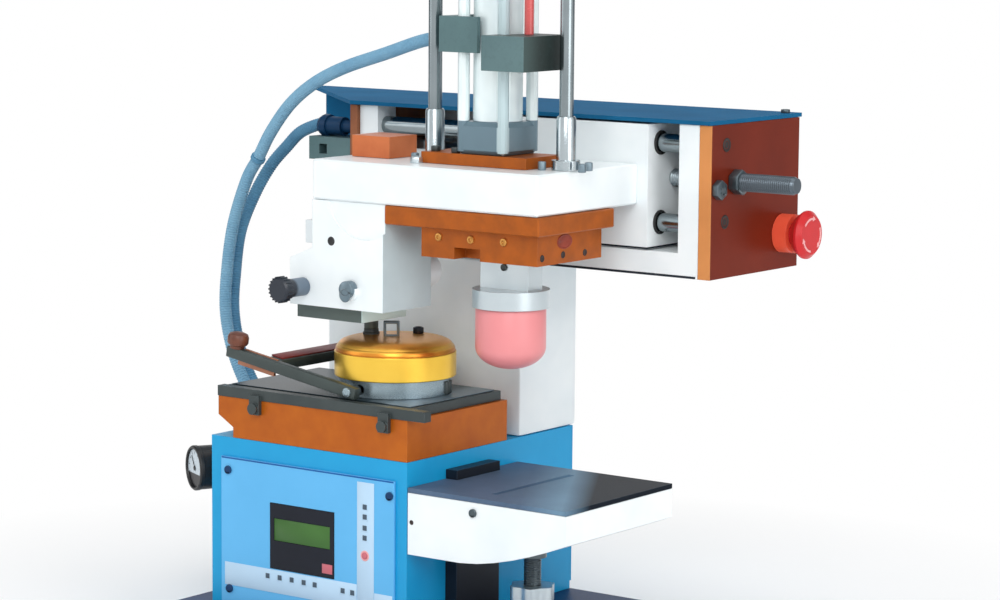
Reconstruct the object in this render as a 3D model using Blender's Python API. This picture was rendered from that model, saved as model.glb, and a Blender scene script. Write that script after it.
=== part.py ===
"""Bench pad printing machine with a closed ink cup, as an assembly of separate pieces.

Metres, +Z up. The origin is the centre of the base plate's underside.
+X points along the print line, from the ink cup to the work table and the operator.
-Y is the side of the control panel.
"""
import math

import bmesh
import bpy
from mathutils import Matrix, Vector

# Shared clearances and mesh settings
GAP = 0.0003
OVERRUN = 0.002
RUNNING_GAP = 0.0004
EDGE_ANGLE = math.radians(35)
MERGE_DISTANCE = GAP / 30
STEPS_ROUND = 24
STEPS_SMALL = 16
STEPS_LARGE = 36
SIDES_NUT = 6
SIDES_TIE_ROD = 10
SIDES_TUBE = 12

# Base plate and feet
BASE_LENGTH = 0.430
BASE_WIDTH = 0.272
BASE_THICKNESS = 0.016
FOOT_HEIGHT = 0.012
FOOT_DIAMETER = 0.034
FOOT_INSET = 0.028
FOOT_TAPER_SHARE = 0.25

# Cabinet, a sheet shell open at the back
CABINET_LENGTH = 0.219
CABINET_DEPTH = 0.239
CABINET_HEIGHT = 0.1497
CABINET_LEFT_MARGIN = 0.027
CABINET_FRONT_MARGIN = 0.031
CABINET_WALL = 0.0025
REAR_COVER_THICKNESS = 0.002
REAR_COVER_MARGIN = 0.009

# Control panel on the cabinet's front
PANEL_THICKNESS = 0.002
PANEL_MARGIN_LEFT = 0.013
PANEL_MARGIN_RIGHT = 0.012
PANEL_MARGIN_TOP = 0.017
PANEL_MARGIN_BOTTOM = 0.001
PANEL_OPENING_INSET = 0.015
WINDOW_WIDTH = 0.072
WINDOW_HEIGHT = 0.058
WINDOW_THICKNESS = 0.0025
WINDOW_FROM_RIGHT = 0.0774
WINDOW_FROM_TOP = 0.052
WINDOW_PROUD = 0.0004
SCREEN_WIDTH = 0.0632
SCREEN_HEIGHT = 0.020
SCREEN_FROM_TOP = 0.013
SCREEN_DEPTH = 0.0006

# Pressure gauge and hose outlet on the cabinet's left wall
GAUGE_DIAMETER = 0.040
GAUGE_THICKNESS = 0.024
GAUGE_RIM = 0.003
GAUGE_DIAL_DEPTH = 0.0025
GAUGE_STUB_LENGTH = 0.0045
GAUGE_STUB_DIAMETER = 0.014
GAUGE_FROM_FRONT = 0.008
GAUGE_BELOW_TOP = 0.0375
OUTLET_PLATE_THICKNESS = 0.004
OUTLET_PLATE_WIDTH = 0.044
OUTLET_PLATE_HEIGHT = 0.030
OUTLET_BELOW_TOP = 0.036
OUTLET_PITCH = 0.016
OUTLET_BOSS_LENGTH = 0.016
OUTLET_BOSS_DIAMETER = 0.0145

# Plate base, magnet bed, printing plate and front clamp bar
BLOCK_LENGTH = 0.211
BLOCK_DEPTH = 0.141
BLOCK_HEIGHT = 0.0355
BLOCK_TOE_LENGTH = 0.017
BLOCK_TOE_HEIGHT = 0.009
BLOCK_CHAMFER_HEIGHT = 0.010
BED_THICKNESS = 0.008
BED_FRONT = 0.010
BED_BACK_MARGIN = 0.004
BED_END_MARGIN = 0.004
PLATE_THICKNESS = 0.0008
PLATE_MARGIN = 0.004
BAR_OVERHANG = 0.019
BAR_HEIGHT = 0.009
BAR_DEPTH = 0.009
BAR_PROUD = 0.001
HOOK_WIDTH = 0.011
HOOK_DROP = 0.0125
HOOK_THICKNESS = 0.004
HOOK_SCREW_DIAMETER = 0.010
HOOK_SCREW_HEAD = 0.003
HOOK_LEFT_FROM_RIGHT = 0.1665
HOOK_RIGHT_FROM_RIGHT = 0.023

# Column and upper housing
COLUMN_FRONT = 0.160
COLUMN_DEPTH = 0.086
COLUMN_HEIGHT = 0.1534
COLUMN_EDGE = 0.003
COLUMN_EDGE_STEPS = 2
HOUSING_FRONT = 0.165
HOUSING_DEPTH = 0.141
HOUSING_HEIGHT = 0.130
HOUSING_LEFT = 0.250
HOUSING_RIGHT = 0.180
HOUSING_FLOOR = 0.021
HOUSING_BACK_WALL = 0.012
HOUSING_CHEEK = 0.020
COVER_THICKNESS = 0.0035
COVER_LIP = 0.002
COVER_NEAR_LEFT = 0.196
COVER_FAR_LEFT = 0.363
COVER_BACK_LEFT = 0.343
END_PLATE_THICKNESS = 0.0117
REAR_PLATE_THICKNESS = 0.008
REAR_PLATE_LEFT = 0.197
DARK_BLOCK_LENGTH = 0.0485
DARK_BLOCK_DEPTH = 0.035
DARK_BLOCK_HEIGHT = 0.021
DARK_BLOCK_TOP = 0.0312
DARK_BLOCK_HOLE = 0.009
DARK_BLOCK_HOLE_DEPTH = 0.012
DARK_BLOCK_HOLE_FROM_LEFT = 0.012
DARK_BLOCK_HOLE_FROM_TOP = 0.0065
ROD_SUPPORT_LENGTH = 0.0205
ROD_SUPPORT_DEPTH = 0.026

# Guide rods of the carriage
GUIDE_DIAMETER = 0.016
GUIDE_Y = 0.182
GUIDE_UPPER_Z = 0.266
GUIDE_LOWER_Z = 0.198

# Carriage plate and bearing block
CARRIAGE_LEFT = 0.118
CARRIAGE_RIGHT = 0.120
CARRIAGE_FRONT = 0.017
CARRIAGE_BACK = 0.1625
CARRIAGE_BOTTOM = 0.214
CARRIAGE_THICKNESS = 0.0345
CARRIAGE_EDGE = 0.0015
BEARING_LEFT = 0.040
BEARING_RIGHT = 0.130
BEARING_BACK = 0.215
BEARING_BOTTOM = 0.176
BEARING_TOP = 0.2825
LUG_LENGTH = 0.030
LUG_HEIGHT = 0.045
LUG_FROM_RIGHT = 0.004

# Drive cylinder behind the bearing block
DRIVE_Y = 0.262
DRIVE_Z = 0.2275
DRIVE_WIDTH = 0.044
DRIVE_LENGTH = 0.132
DRIVE_CAP_LENGTH = 0.020
DRIVE_BARREL_DIAMETER = 0.038
DRIVE_ROD_DIAMETER = 0.012
DRIVE_ROD_INSIDE = 0.033
DRIVE_BORE_END_WALL = 0.006

# Stop screw through the end plate
STOP_Y = 0.201
STOP_Z = 0.235
STOP_DIAMETER = 0.014
STOP_OUTSIDE = 0.062
STOP_NUT_WIDTH = 0.022
STOP_NUT_THICKNESS = 0.009
STOP_END_GAP = 0.001
INNER_NUT_THICKNESS = 0.007

# Emergency stop button
ESTOP_Y = 0.280
ESTOP_Z = 0.185
ESTOP_COLLAR_DIAMETER = 0.034
ESTOP_COLLAR_LENGTH = 0.0135
ESTOP_STEM_DIAMETER = 0.022
ESTOP_STEM_INSIDE = 0.006
ESTOP_TRAVEL = 0.004
ESTOP_HEAD_GAP = 0.0045
ESTOP_NECK_DIAMETER = 0.033
ESTOP_HEAD_DIAMETER = 0.042
ESTOP_HEAD_LENGTH = 0.012
ESTOP_HEAD_ROUND = 0.004

# Pad cylinder and its guide rods
LIFT_X = 0.0387
PRINT_LINE_Y = 0.072
ROD_SPREAD = 0.0685
ROD_SHIFT = 0.002
ROD_DIAMETER = 0.012
ROD_HEIGHT = 0.206
COLLAR_DIAMETER = 0.0205
COLLAR_LENGTH = 0.012
BUSH_DIAMETER = 0.0165
BUSH_HEIGHT = 0.0443
BUSH_FLANGE_DIAMETER = 0.024
BUSH_FLANGE_THICKNESS = 0.008
BUSH_TIP = 0.002
CYLINDER_WIDTH = 0.050
CYLINDER_LENGTH = 0.174
CYLINDER_LOWER_CAP = 0.027
CYLINDER_UPPER_CAP = 0.028
CYLINDER_BARREL = 0.042
CYLINDER_CORNER = 0.002
CAP_CORNER = 0.0035
TIE_ROD_DIAMETER = 0.010
TIE_ROD_OFFSET = 0.0205
CAP_NUT_HEIGHT = 0.005
PORT_DIAMETER = 0.010
PORT_HEIGHT = 0.014
FOOT_PLATE_LEFT = 0.0618
FOOT_PLATE_RIGHT = 0.0475
FOOT_PLATE_THICKNESS = 0.0095
PISTON_DIAMETER = 0.016
PISTON_TOP_GAP = 0.020

# Valves on the pad cylinder and the red air tube
VALVE_L_LEFT = 0.001
VALVE_L_RIGHT = 0.039
VALVE_L_FRONT = 0.042
VALVE_L_BOTTOM = 0.3435
VALVE_L_HEIGHT = 0.030
VALVE_L_ARM_BACK = 0.100
VALVE_R_LEFT = 0.0555
VALVE_R_RIGHT = 0.0985
VALVE_R_FRONT = 0.0255
VALVE_R_BOTTOM = 0.3305
VALVE_R_HEIGHT = 0.029
VALVE_R_ARM_BACK = 0.0865
TUBE_DIAMETER = 0.008
TUBE_X = 0.079
TUBE_Y = 0.060
TUBE_RISE = 0.092

# Blocks on the carriage and the hanging bracket
TOP_BLOCK_LEFT = 0.1073
TOP_BLOCK_LENGTH = 0.041
TOP_BLOCK_FRONT = 0.058
TOP_BLOCK_DEPTH = 0.038
TOP_BLOCK_HEIGHT = 0.0185
HANGER_LEFT = 0.118
HANGER_RIGHT = 0.040
HANGER_TOE_LEFT = 0.143
HANGER_TOE_TOP = 0.162
HANGER_SHOULDER = 0.172
HANGER_BOTTOM = 0.1215
HANGER_DEPTH = 0.066
HANGER_HOLLOW_RADIUS = 0.040
HANGER_HOLLOW_DEPTH = 0.003
HANGER_HOLLOW_X = 0.062
HANGER_HOLLOW_Z = 0.222
BOSS_DIAMETER = 0.029
BOSS_LENGTH = 0.018
BOSS_Z = 0.150
BOSS_FROM_RIGHT = 0.0165
HANGER_SCREW_DIAMETER = 0.016
HANGER_SCREW_HEAD = 0.005
HANGER_SCREW_X = 0.0745
KNOB_X = 0.128
KNOB_Z = 0.1375
KNOB_STEM_DIAMETER = 0.016
KNOB_STEM_LENGTH = 0.024
KNOB_HEAD_DIAMETER = 0.022
KNOB_HEAD_LENGTH = 0.010
KNOB_RIM_SHARE = 0.2
PRESS_PLATE_LEFT = 0.143
PRESS_PLATE_RIGHT = 0.071
PRESS_PLATE_FRONT = 0.027
PRESS_PLATE_BACK = 0.088
PRESS_PLATE_THICKNESS = 0.012
PRESS_PIN_X = 0.097
PRESS_PIN_DIAMETER = 0.0125
PRESS_PIN_LENGTH = 0.011

# Lift flange, adjusting block, pad holder and pad
FLANGE_LEFT = 0.0395
FLANGE_RIGHT = 0.1212
FLANGE_WIDTH = 0.109
FLANGE_THICKNESS = 0.016
FLANGE_DROP = 0.0005
FLANGE_EDGE = 0.001
PAD_X = 0.054
ADJUSTER_LENGTH = 0.120
ADJUSTER_WIDTH = 0.092
ADJUSTER_HEIGHT = 0.025
SLOT_WIDTH = 0.027
SLOT_HEIGHT = 0.010
SLOT_DEPTH = 0.016
SLOT_FROM_PAD = 0.012
HOLDER_LENGTH = 0.050
HOLDER_WIDTH = 0.020
HOLDER_HEIGHT = 0.0265
HOLDER_RING_DIAMETER = 0.066
HOLDER_RING_HEIGHT = 0.0155
PAD_DIAMETER = 0.060
PAD_HEIGHT = 0.0525
PAD_SHOULDER = 0.019
PAD_ARC_POINTS = 8

# Ink cup, ring and fork
CUP_X = 0.070
RING_DIAMETER = 0.098
RING_WALL = 0.007
RING_HEIGHT = 0.0143
CUP_DIAMETER = 0.106
CUP_BAND_HEIGHT = 0.0215
CUP_STEP = 0.0008
CUP_STEP_HEIGHT = 0.0012
CUP_TOP_DIAMETER = 0.084
CUP_HEIGHT = 0.0375
CUP_WALL = 0.007
CUP_ARC_POINTS = 4
CUP_ROOF_SHARE = 0.8
FORK_PIN_HEIGHT = 0.0066
FORK_PIN_DIAMETER = 0.008
FORK_PIN_CLEARANCE = 0.0004
FORK_PIN_DEPTH = 0.005
FORK_LENGTH = 0.150
FORK_ARM_WIDTH = 0.008
FORK_ARM_HEIGHT = 0.010
FORK_SIDE_GAP = 0.0012
FORK_TILT = math.radians(9.5)
FORK_WEB_FROM_PIN = 0.084
FORK_WEB_WIDTH = 0.014
FORK_KNOB_DIAMETER = 0.016
FORK_KNOB_HEIGHT = 0.012

# Work table, its rail and leadscrew
TABLE_LEFT = 0.001
TABLE_LENGTH = 0.163
TABLE_WIDTH = 0.156
TABLE_TOP_BELOW = 0.021
TABLE_PLATE_THICKNESS = 0.004
TABLE_ROOT_DROP = 0.057
TABLE_TIP_DROP = 0.029
TABLE_FLAT_LENGTH = 0.055
TABLE_CURVE_POINTS = 6
TABLE_CURVE_POWER = 1.6
TABLE_SLOT_X = 0.075
TABLE_SLOT_WIDTH = 0.007
TABLE_SLOT_MARGIN = 0.022
RAIL_FRONT = 0.0535
RAIL_WIDTH = 0.061
RAIL_THICKNESS = 0.012
RAIL_TOP_BELOW = 0.013
RAIL_SIDE_GAP = 0.0006
SCREW_X = 0.074
SCREW_Y = 0.079
SCREW_DIAMETER = 0.015
SCREW_LENGTH = 0.060
SCREW_HEAD_DIAMETER = 0.024
SCREW_HEAD_HEIGHT = 0.005
PILLAR_HEIGHT = 0.028
PILLAR_DIAMETER = 0.030
HEIGHT_NUT_DIAMETER = 0.040
HEIGHT_NUT_HEIGHT = 0.014
HEIGHT_NUT_LOBES = 6
HEIGHT_NUT_FLUTE = 0.003
HEIGHT_NUT_POINTS = 72

# Ribbed hoses
HOSE_DIAMETER = 0.0115
HOSE_BORE_DIAMETER = 0.0072
HOSE_GROOVE_DEPTH = 0.0008
HOSE_SIDES = 8
HOSE_RIBS_LONG = 96
HOSE_RIBS_SHORT = 64
HOSE_ROUTE_SAMPLES = 24
HOSE_BORE_STEP = 4
HOSE_LANE = 0.144
HOSE_END_SHARES = (0, 0.5, 1)
HOUSING_GLAND_Y = 0.180
HOUSING_GLAND_Z = 0.262
HOUSING_GLAND_DIAMETER = 0.0172
HOUSING_GLAND_LENGTH = 0.021
HOUSING_GLAND_NECK = 0.012
HOUSING_GLAND_NECK_LENGTH = 0.018
VALVE_GLAND_DIAMETER = 0.0155
VALVE_GLAND_LENGTH = 0.012
VALVE_GLAND_Y = 0.090
VALVE_GLAND_ABOVE = 0.010

# Routes of the hoses, from the cabinet's front right top corner. The two ends come from their glands.
CARRIAGE_HOSE_ROUTE = [
    (-0.057, 0.093, 0.349), (-0.102, 0.097, 0.336), (-0.155, 0.106, 0.3215), (-0.198, 0.116, 0.3055),
    (-0.235, 0.126, 0.2845), (-0.266, 0.135, 0.257), (-0.286, 0.140, 0.2315), (-0.302, 0.142, 0.210),
    (-0.320, 0.144, 0.168), (-0.328, 0.144, 0.125), (-0.330, 0.144, 0.085), (-0.321, 0.144, 0.048),
    (-0.304, 0.144, 0.016), (-0.283, 0.144, -0.013),
]
HOUSING_HOSE_ROUTE = [
    (-0.268, 0.179, 0.254), (-0.283, 0.177, 0.240), (-0.298, 0.172, 0.222), (-0.311, 0.164, 0.195),
    (-0.325, 0.160, 0.160), (-0.332, 0.160, 0.120), (-0.334, 0.160, 0.083), (-0.325, 0.160, 0.045),
    (-0.307, 0.160, 0.013), (-0.285, 0.160, -0.014),
]

# Frame of reference: the cabinet's front, right and top planes
base_left = -BASE_LENGTH / 2
base_right = BASE_LENGTH / 2
base_front = -BASE_WIDTH / 2
base_back = BASE_WIDTH / 2
cabinet_left = base_left + CABINET_LEFT_MARGIN
cabinet_right = cabinet_left + CABINET_LENGTH
cabinet_front = base_front + CABINET_FRONT_MARGIN
cabinet_back = cabinet_front + CABINET_DEPTH
cabinet_bottom = BASE_THICKNESS + GAP
cabinet_top = cabinet_bottom + CABINET_HEIGHT

print_y = cabinet_front + PRINT_LINE_Y
column_top = cabinet_top + GAP + COLUMN_HEIGHT
housing_bottom = column_top + GAP
housing_top = housing_bottom + HOUSING_HEIGHT
housing_front = cabinet_front + HOUSING_FRONT
housing_back = housing_front + HOUSING_DEPTH
housing_left = cabinet_right - HOUSING_LEFT
housing_right = cabinet_right + HOUSING_RIGHT
floor_top = housing_bottom + HOUSING_FLOOR
cheek_left = housing_right - HOUSING_CHEEK
rear_plate_left = cabinet_right - REAR_PLATE_LEFT
rear_plate_right = rear_plate_left + REAR_PLATE_THICKNESS
carriage_bottom = cabinet_top + CARRIAGE_BOTTOM
carriage_top = carriage_bottom + CARRIAGE_THICKNESS
bed_bottom = cabinet_top + GAP + BLOCK_HEIGHT + GAP
plate_top = bed_bottom + BED_THICKNESS + GAP + PLATE_THICKNESS
ring_bottom = plate_top + GAP
cup_x = cabinet_right - CUP_X
lift_x = cabinet_right + LIFT_X
pad_x = cabinet_right + PAD_X
table_left = cabinet_right + TABLE_LEFT
table_top = cabinet_top - TABLE_TOP_BELOW


def clear_scene():
    """Remove whatever the file holds, such as the startup cube."""
    for thing in list(bpy.data.objects):
        bpy.data.objects.remove(thing, do_unlink=True)


def material(name, colour, roughness, metallic):
    """One Principled material, made once for each name."""
    found = bpy.data.materials.get(name)
    if found:
        return found
    made = bpy.data.materials.new(name)
    made.use_nodes = True
    shader = made.node_tree.nodes["Principled BSDF"]
    shader.inputs["Base Color"].default_value = (*colour, 1.0)
    shader.inputs["Roughness"].default_value = roughness
    shader.inputs["Metallic"].default_value = metallic
    made.diffuse_color = (*colour, 1.0)
    return made


def white_paint():
    return material("white_paint", (0.86, 0.89, 0.90), 0.35, 0.0)


def cabinet_blue():
    return material("cabinet_blue", (0.02, 0.37, 0.75), 0.38, 0.0)


def dark_blue():
    return material("dark_blue", (0.02, 0.12, 0.33), 0.40, 0.0)


def panel_blue():
    return material("panel_blue", (0.28, 0.60, 0.86), 0.45, 0.0)


def orange_anodised():
    return material("orange_anodised", (0.62, 0.16, 0.03), 0.35, 0.6)


def gold_anodised():
    return material("gold_anodised", (0.86, 0.48, 0.06), 0.25, 0.9)


def bright_steel():
    return material("bright_steel", (0.62, 0.64, 0.66), 0.22, 1.0)


def dark_steel():
    return material("dark_steel", (0.11, 0.15, 0.16), 0.42, 0.7)


def bare_aluminium():
    return material("bare_aluminium", (0.74, 0.77, 0.79), 0.32, 0.9)


def grey_green():
    return material("grey_green", (0.11, 0.22, 0.20), 0.5, 0.1)


def black_plastic():
    return material("black_plastic", (0.015, 0.016, 0.018), 0.4, 0.0)


def black_rubber():
    return material("black_rubber", (0.02, 0.02, 0.02), 0.8, 0.0)


def red_plastic():
    return material("red_plastic", (0.75, 0.03, 0.03), 0.3, 0.0)


def pink_silicone():
    return material("pink_silicone", (0.86, 0.32, 0.33), 0.42, 0.0)


def hose_blue():
    return material("hose_blue", (0.16, 0.42, 0.68), 0.5, 0.0)


def finish_object(thing, paint, smooth=False):
    """Give an object its material and, for a round piece, smooth shading."""
    thing.data.materials.append(paint)
    if smooth:
        thing.data.shade_smooth()
        thing.data.set_sharp_from_angle(angle=EDGE_ANGLE)
    return thing


def object_from(bm, name, place=(0, 0, 0)):
    """Turn a bmesh into a named object that stands at a place."""
    bmesh.ops.recalc_face_normals(bm, faces=bm.faces[:])
    mesh = bpy.data.meshes.new(name)
    bm.to_mesh(mesh)
    bm.free()
    thing = bpy.data.objects.new(name, mesh)
    thing.location = place
    bpy.context.scene.collection.objects.link(thing)
    return thing


def block(name, low, high):
    """A box between two corners, with its origin at its centre."""
    low, high = Vector(low), Vector(high)
    size = high - low
    bm = bmesh.new()
    bmesh.ops.create_cube(bm, size=1)
    bmesh.ops.scale(bm, vec=size, verts=bm.verts[:])
    return object_from(bm, name, (low + high) / 2)


AXIS_TURNS = {
    "+Z": Matrix.Identity(3),
    "-Z": Matrix.Rotation(math.pi, 3, "X"),
    "+X": Matrix.Rotation(math.pi / 2, 3, "Y"),
    "-X": Matrix.Rotation(-math.pi / 2, 3, "Y"),
    "+Y": Matrix.Rotation(-math.pi / 2, 3, "X"),
    "-Y": Matrix.Rotation(math.pi / 2, 3, "X"),
}


def turned(name, profile, place, axis="+Z", steps=STEPS_ROUND):
    """Revolve (radius, height) points about an axis that starts at a place.

    A profile that starts and ends on the axis makes a solid. One that stays off it makes a ring.
    """
    bm = bmesh.new()
    verts = [bm.verts.new((radius, 0, height)) for radius, height in profile]
    closed = all(radius > 0 for radius, height in profile)
    pairs = list(zip(verts, verts[1:]))
    if closed:
        pairs.append((verts[-1], verts[0]))
    edges = [bm.edges.new(pair) for pair in pairs]
    bmesh.ops.spin(bm, geom=verts + edges, cent=(0, 0, 0), axis=(0, 0, 1), angle=math.tau, steps=steps,
                   use_merge=True)
    bmesh.ops.remove_doubles(bm, verts=bm.verts[:], dist=MERGE_DISTANCE)
    bmesh.ops.rotate(bm, cent=(0, 0, 0), matrix=AXIS_TURNS[axis], verts=bm.verts[:])
    return object_from(bm, name, place)


def rod(name, radius, length, place, axis="+Z", steps=STEPS_ROUND):
    """A plain round bar."""
    profile = [(0, 0), (radius, 0), (radius, length), (0, length)]
    return turned(name, profile, place, axis, steps)


def prism(name, outline, low, high, plane="XZ"):
    """Extrude an outline drawn in the XZ, YZ or XY plane between two heights of the third axis."""
    spots = {
        "XZ": lambda a, b, depth: (a, depth, b),
        "YZ": lambda a, b, depth: (depth, a, b),
        "XY": lambda a, b, depth: (a, b, depth),
    }[plane]
    bm = bmesh.new()
    face = bm.faces.new([bm.verts.new(spots(a, b, low)) for a, b in outline])
    moved = bmesh.ops.extrude_face_region(bm, geom=[face])
    verts = [item for item in moved["geom"] if isinstance(item, bmesh.types.BMVert)]
    bmesh.ops.translate(bm, vec=Vector(spots(0, 0, high - low)), verts=verts)
    return object_from(bm, name)


def hide_tool(tool):
    """A cutter or a joined shape is only a guide for the boolean that reads it."""
    tool.hide_render = True
    tool.display_type = "WIRE"


def boolean(thing, tool, operation):
    change = thing.modifiers.new(tool.name, "BOOLEAN")
    change.operation = operation
    change.solver = "EXACT"
    change.object = tool
    hide_tool(tool)
    return thing


def cut(thing, *tools):
    for tool in tools:
        boolean(thing, tool, "DIFFERENCE")
    return thing


def join(thing, *tools):
    for tool in tools:
        boolean(thing, tool, "UNION")
    return thing


def soften(thing, width, segments=1):
    """Break the edges with a small bevel."""
    change = thing.modifiers.new("edges", "BEVEL")
    change.width = width
    change.segments = segments
    change.limit_method = "ANGLE"
    change.angle_limit = EDGE_ANGLE
    return thing


def make_base():
    low = (base_left, base_front, 0)
    high = (base_right, base_back, BASE_THICKNESS)
    plate = block("base_plate", low, high)
    spot = (cabinet_right + SCREW_X, cabinet_front + SCREW_Y)
    pillar_length = BASE_THICKNESS / 2 + PILLAR_HEIGHT
    pillar = rod("pillar", PILLAR_DIAMETER / 2, pillar_length, (*spot, BASE_THICKNESS / 2))
    bore_length = BASE_THICKNESS + PILLAR_HEIGHT + 2 * OVERRUN
    bore = rod("pillar_bore", SCREW_DIAMETER / 2 + RUNNING_GAP, bore_length, (*spot, -OVERRUN))
    join(plate, pillar)
    cut(plate, bore)
    finish_object(plate, dark_blue())
    for side_x in (-1, 1):
        for side_y in (-1, 1):
            make_foot(side_x, side_y)


def make_foot(side_x, side_y):
    names = {(-1, -1): "foot_left_front", (-1, 1): "foot_left_back",
             (1, -1): "foot_right_front", (1, 1): "foot_right_back"}
    radius = FOOT_DIAMETER / 2
    taper = FOOT_HEIGHT * FOOT_TAPER_SHARE
    profile = [(0, 0), (radius - taper, 0), (radius, FOOT_HEIGHT), (0, FOOT_HEIGHT)]
    place = (side_x * (BASE_LENGTH / 2 - FOOT_INSET), side_y * (BASE_WIDTH / 2 - FOOT_INSET),
             -GAP - FOOT_HEIGHT)
    foot = turned(names[(side_x, side_y)], profile, place)
    finish_object(foot, black_rubber(), smooth=True)


def panel_bounds():
    """Left, right, bottom and top of the control panel."""
    left = cabinet_left + PANEL_MARGIN_LEFT
    right = cabinet_right - PANEL_MARGIN_RIGHT
    bottom = cabinet_bottom + PANEL_MARGIN_BOTTOM
    top = cabinet_top - PANEL_MARGIN_TOP
    return left, right, bottom, top


def window_bounds():
    """Left, right, bottom and top of the display window."""
    right = cabinet_right - WINDOW_FROM_RIGHT
    left = right - WINDOW_WIDTH
    top = cabinet_top - WINDOW_FROM_TOP
    bottom = top - WINDOW_HEIGHT
    return left, right, bottom, top


def make_cabinet():
    low = Vector((cabinet_left, cabinet_front, cabinet_bottom))
    high = Vector((cabinet_right, cabinet_back, cabinet_top))
    shell = block("cabinet", low, high)
    wall = Vector((CABINET_WALL, CABINET_WALL, CABINET_WALL))
    inner_high = high - wall
    inner_high.y = cabinet_back + OVERRUN
    cut(shell, block("cabinet_hollow", low + wall, inner_high))
    left, right, bottom, top = panel_bounds()
    inset = PANEL_OPENING_INSET
    opening = block("panel_opening", (left + inset, cabinet_front - OVERRUN, bottom + inset),
                    (right - inset, cabinet_front + CABINET_WALL + OVERRUN, top - inset))
    cut(shell, opening)
    finish_object(shell, cabinet_blue())

    margin = REAR_COVER_MARGIN
    cover_front = cabinet_back + GAP
    # The back panel laps over the shell's open edge on all four sides.
    cover = block("rear_cover", (cabinet_left, cover_front, cabinet_bottom + margin - REAR_COVER_THICKNESS),
                  (cabinet_right, cover_front + REAR_COVER_THICKNESS, cabinet_top))
    finish_object(cover, cabinet_blue())


def make_control_panel():
    left, right, bottom, top = panel_bounds()
    back = cabinet_front - GAP
    front = back - PANEL_THICKNESS
    panel = block("control_panel", (left, front, bottom), (right, back, top))
    w_left, w_right, w_bottom, w_top = window_bounds()
    hole = block("window_hole", (w_left - GAP, front - OVERRUN, w_bottom - GAP),
                 (w_right + GAP, back + OVERRUN, w_top + GAP))
    cut(panel, hole)
    finish_object(panel, panel_blue())

    glass_front = front - WINDOW_PROUD
    window = block("display_window", (w_left, glass_front, w_bottom),
                   (w_right, glass_front + WINDOW_THICKNESS, w_top))
    screen_left = (w_left + w_right - SCREEN_WIDTH) / 2
    screen_top = w_top - SCREEN_FROM_TOP
    screen = block("screen_recess", (screen_left, glass_front - OVERRUN, screen_top - SCREEN_HEIGHT),
                   (screen_left + SCREEN_WIDTH, glass_front + SCREEN_DEPTH, screen_top))
    cut(window, screen)
    finish_object(window, black_plastic())


def make_gauge():
    radius = GAUGE_DIAMETER / 2
    dial = radius - GAUGE_RIM
    x = cabinet_left - GAUGE_STUB_LENGTH - radius
    z = cabinet_top - GAUGE_BELOW_TOP
    front = cabinet_front + GAUGE_FROM_FRONT
    profile = [(0, GAUGE_DIAL_DEPTH), (dial, GAUGE_DIAL_DEPTH), (dial, 0), (radius, 0),
               (radius, GAUGE_THICKNESS), (0, GAUGE_THICKNESS)]
    gauge = turned("pressure_gauge", profile, (x, front, z), "+Y", STEPS_LARGE)
    stub_length = GAUGE_STUB_LENGTH + radius / 2 - GAP
    stub_start = x + radius / 2
    stub_y = front + GAUGE_THICKNESS / 2
    stub = rod("gauge_stub", GAUGE_STUB_DIAMETER / 2, stub_length, (stub_start, stub_y, z), "+X",
               STEPS_SMALL)
    join(gauge, stub)
    finish_object(gauge, black_plastic(), smooth=True)


def outlet_spots():
    """Axis (y, z) of the two hose bosses on the cabinet's left wall, front one first."""
    z = cabinet_top - OUTLET_BELOW_TOP
    first = cabinet_front + HOSE_LANE
    return [(first, z), (first + OUTLET_PITCH, z)]


def make_hose_outlet():
    spots = outlet_spots()
    middle_y = sum(y for y, z in spots) / len(spots)
    z = spots[0][1]
    right = cabinet_left - GAP
    left = right - OUTLET_PLATE_THICKNESS
    plate = block("hose_outlet", (left, middle_y - OUTLET_PLATE_WIDTH / 2, z - OUTLET_PLATE_HEIGHT / 2),
                  (right, middle_y + OUTLET_PLATE_WIDTH / 2, z + OUTLET_PLATE_HEIGHT / 2))
    sunk = OUTLET_PLATE_THICKNESS / 2
    for index, (y, height) in enumerate(spots):
        boss = rod("outlet_boss_%d" % index, OUTLET_BOSS_DIAMETER / 2, OUTLET_BOSS_LENGTH + sunk,
                   (left + sunk, y, height), "-X", STEPS_SMALL)
        join(plate, boss)
    finish_object(plate, dark_steel(), smooth=True)


def make_plate_base():
    right = cabinet_right
    left = right - BLOCK_LENGTH
    bottom = cabinet_top + GAP
    top = bottom + BLOCK_HEIGHT
    toe = left + BLOCK_TOE_LENGTH
    outline = [(toe, bottom), (right, bottom), (right, top), (left, top),
               (left, bottom + BLOCK_TOE_HEIGHT + BLOCK_CHAMFER_HEIGHT), (toe, bottom + BLOCK_TOE_HEIGHT)]
    front = cabinet_front
    body = prism("plate_base", outline, front, front + BLOCK_DEPTH)
    finish_object(body, orange_anodised())

    bed_low = (left, front + BED_FRONT, bed_bottom)
    bed_high = (right - BED_END_MARGIN, front + BLOCK_DEPTH - BED_BACK_MARGIN, bed_bottom + BED_THICKNESS)
    bed = block("magnet_bed", bed_low, bed_high)
    finish_object(bed, dark_steel())

    plate_bottom = bed_bottom + BED_THICKNESS + GAP
    plate = block("printing_plate", (left + PLATE_MARGIN, front + BED_FRONT + PLATE_MARGIN, plate_bottom),
                  (bed_high[0] - PLATE_MARGIN, bed_high[1] - PLATE_MARGIN, plate_bottom + PLATE_THICKNESS))
    finish_object(plate, bright_steel())

    bar_front = front - BAR_PROUD
    bar = block("front_bar", (left, bar_front, bed_bottom),
                (right + BAR_OVERHANG, bar_front + BAR_DEPTH, bed_bottom + BAR_HEIGHT))
    for index, from_right in enumerate((HOOK_LEFT_FROM_RIGHT, HOOK_RIGHT_FROM_RIGHT)):
        add_hook(bar, index, right - from_right, bar_front)
    finish_object(bar, dark_steel())


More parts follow.
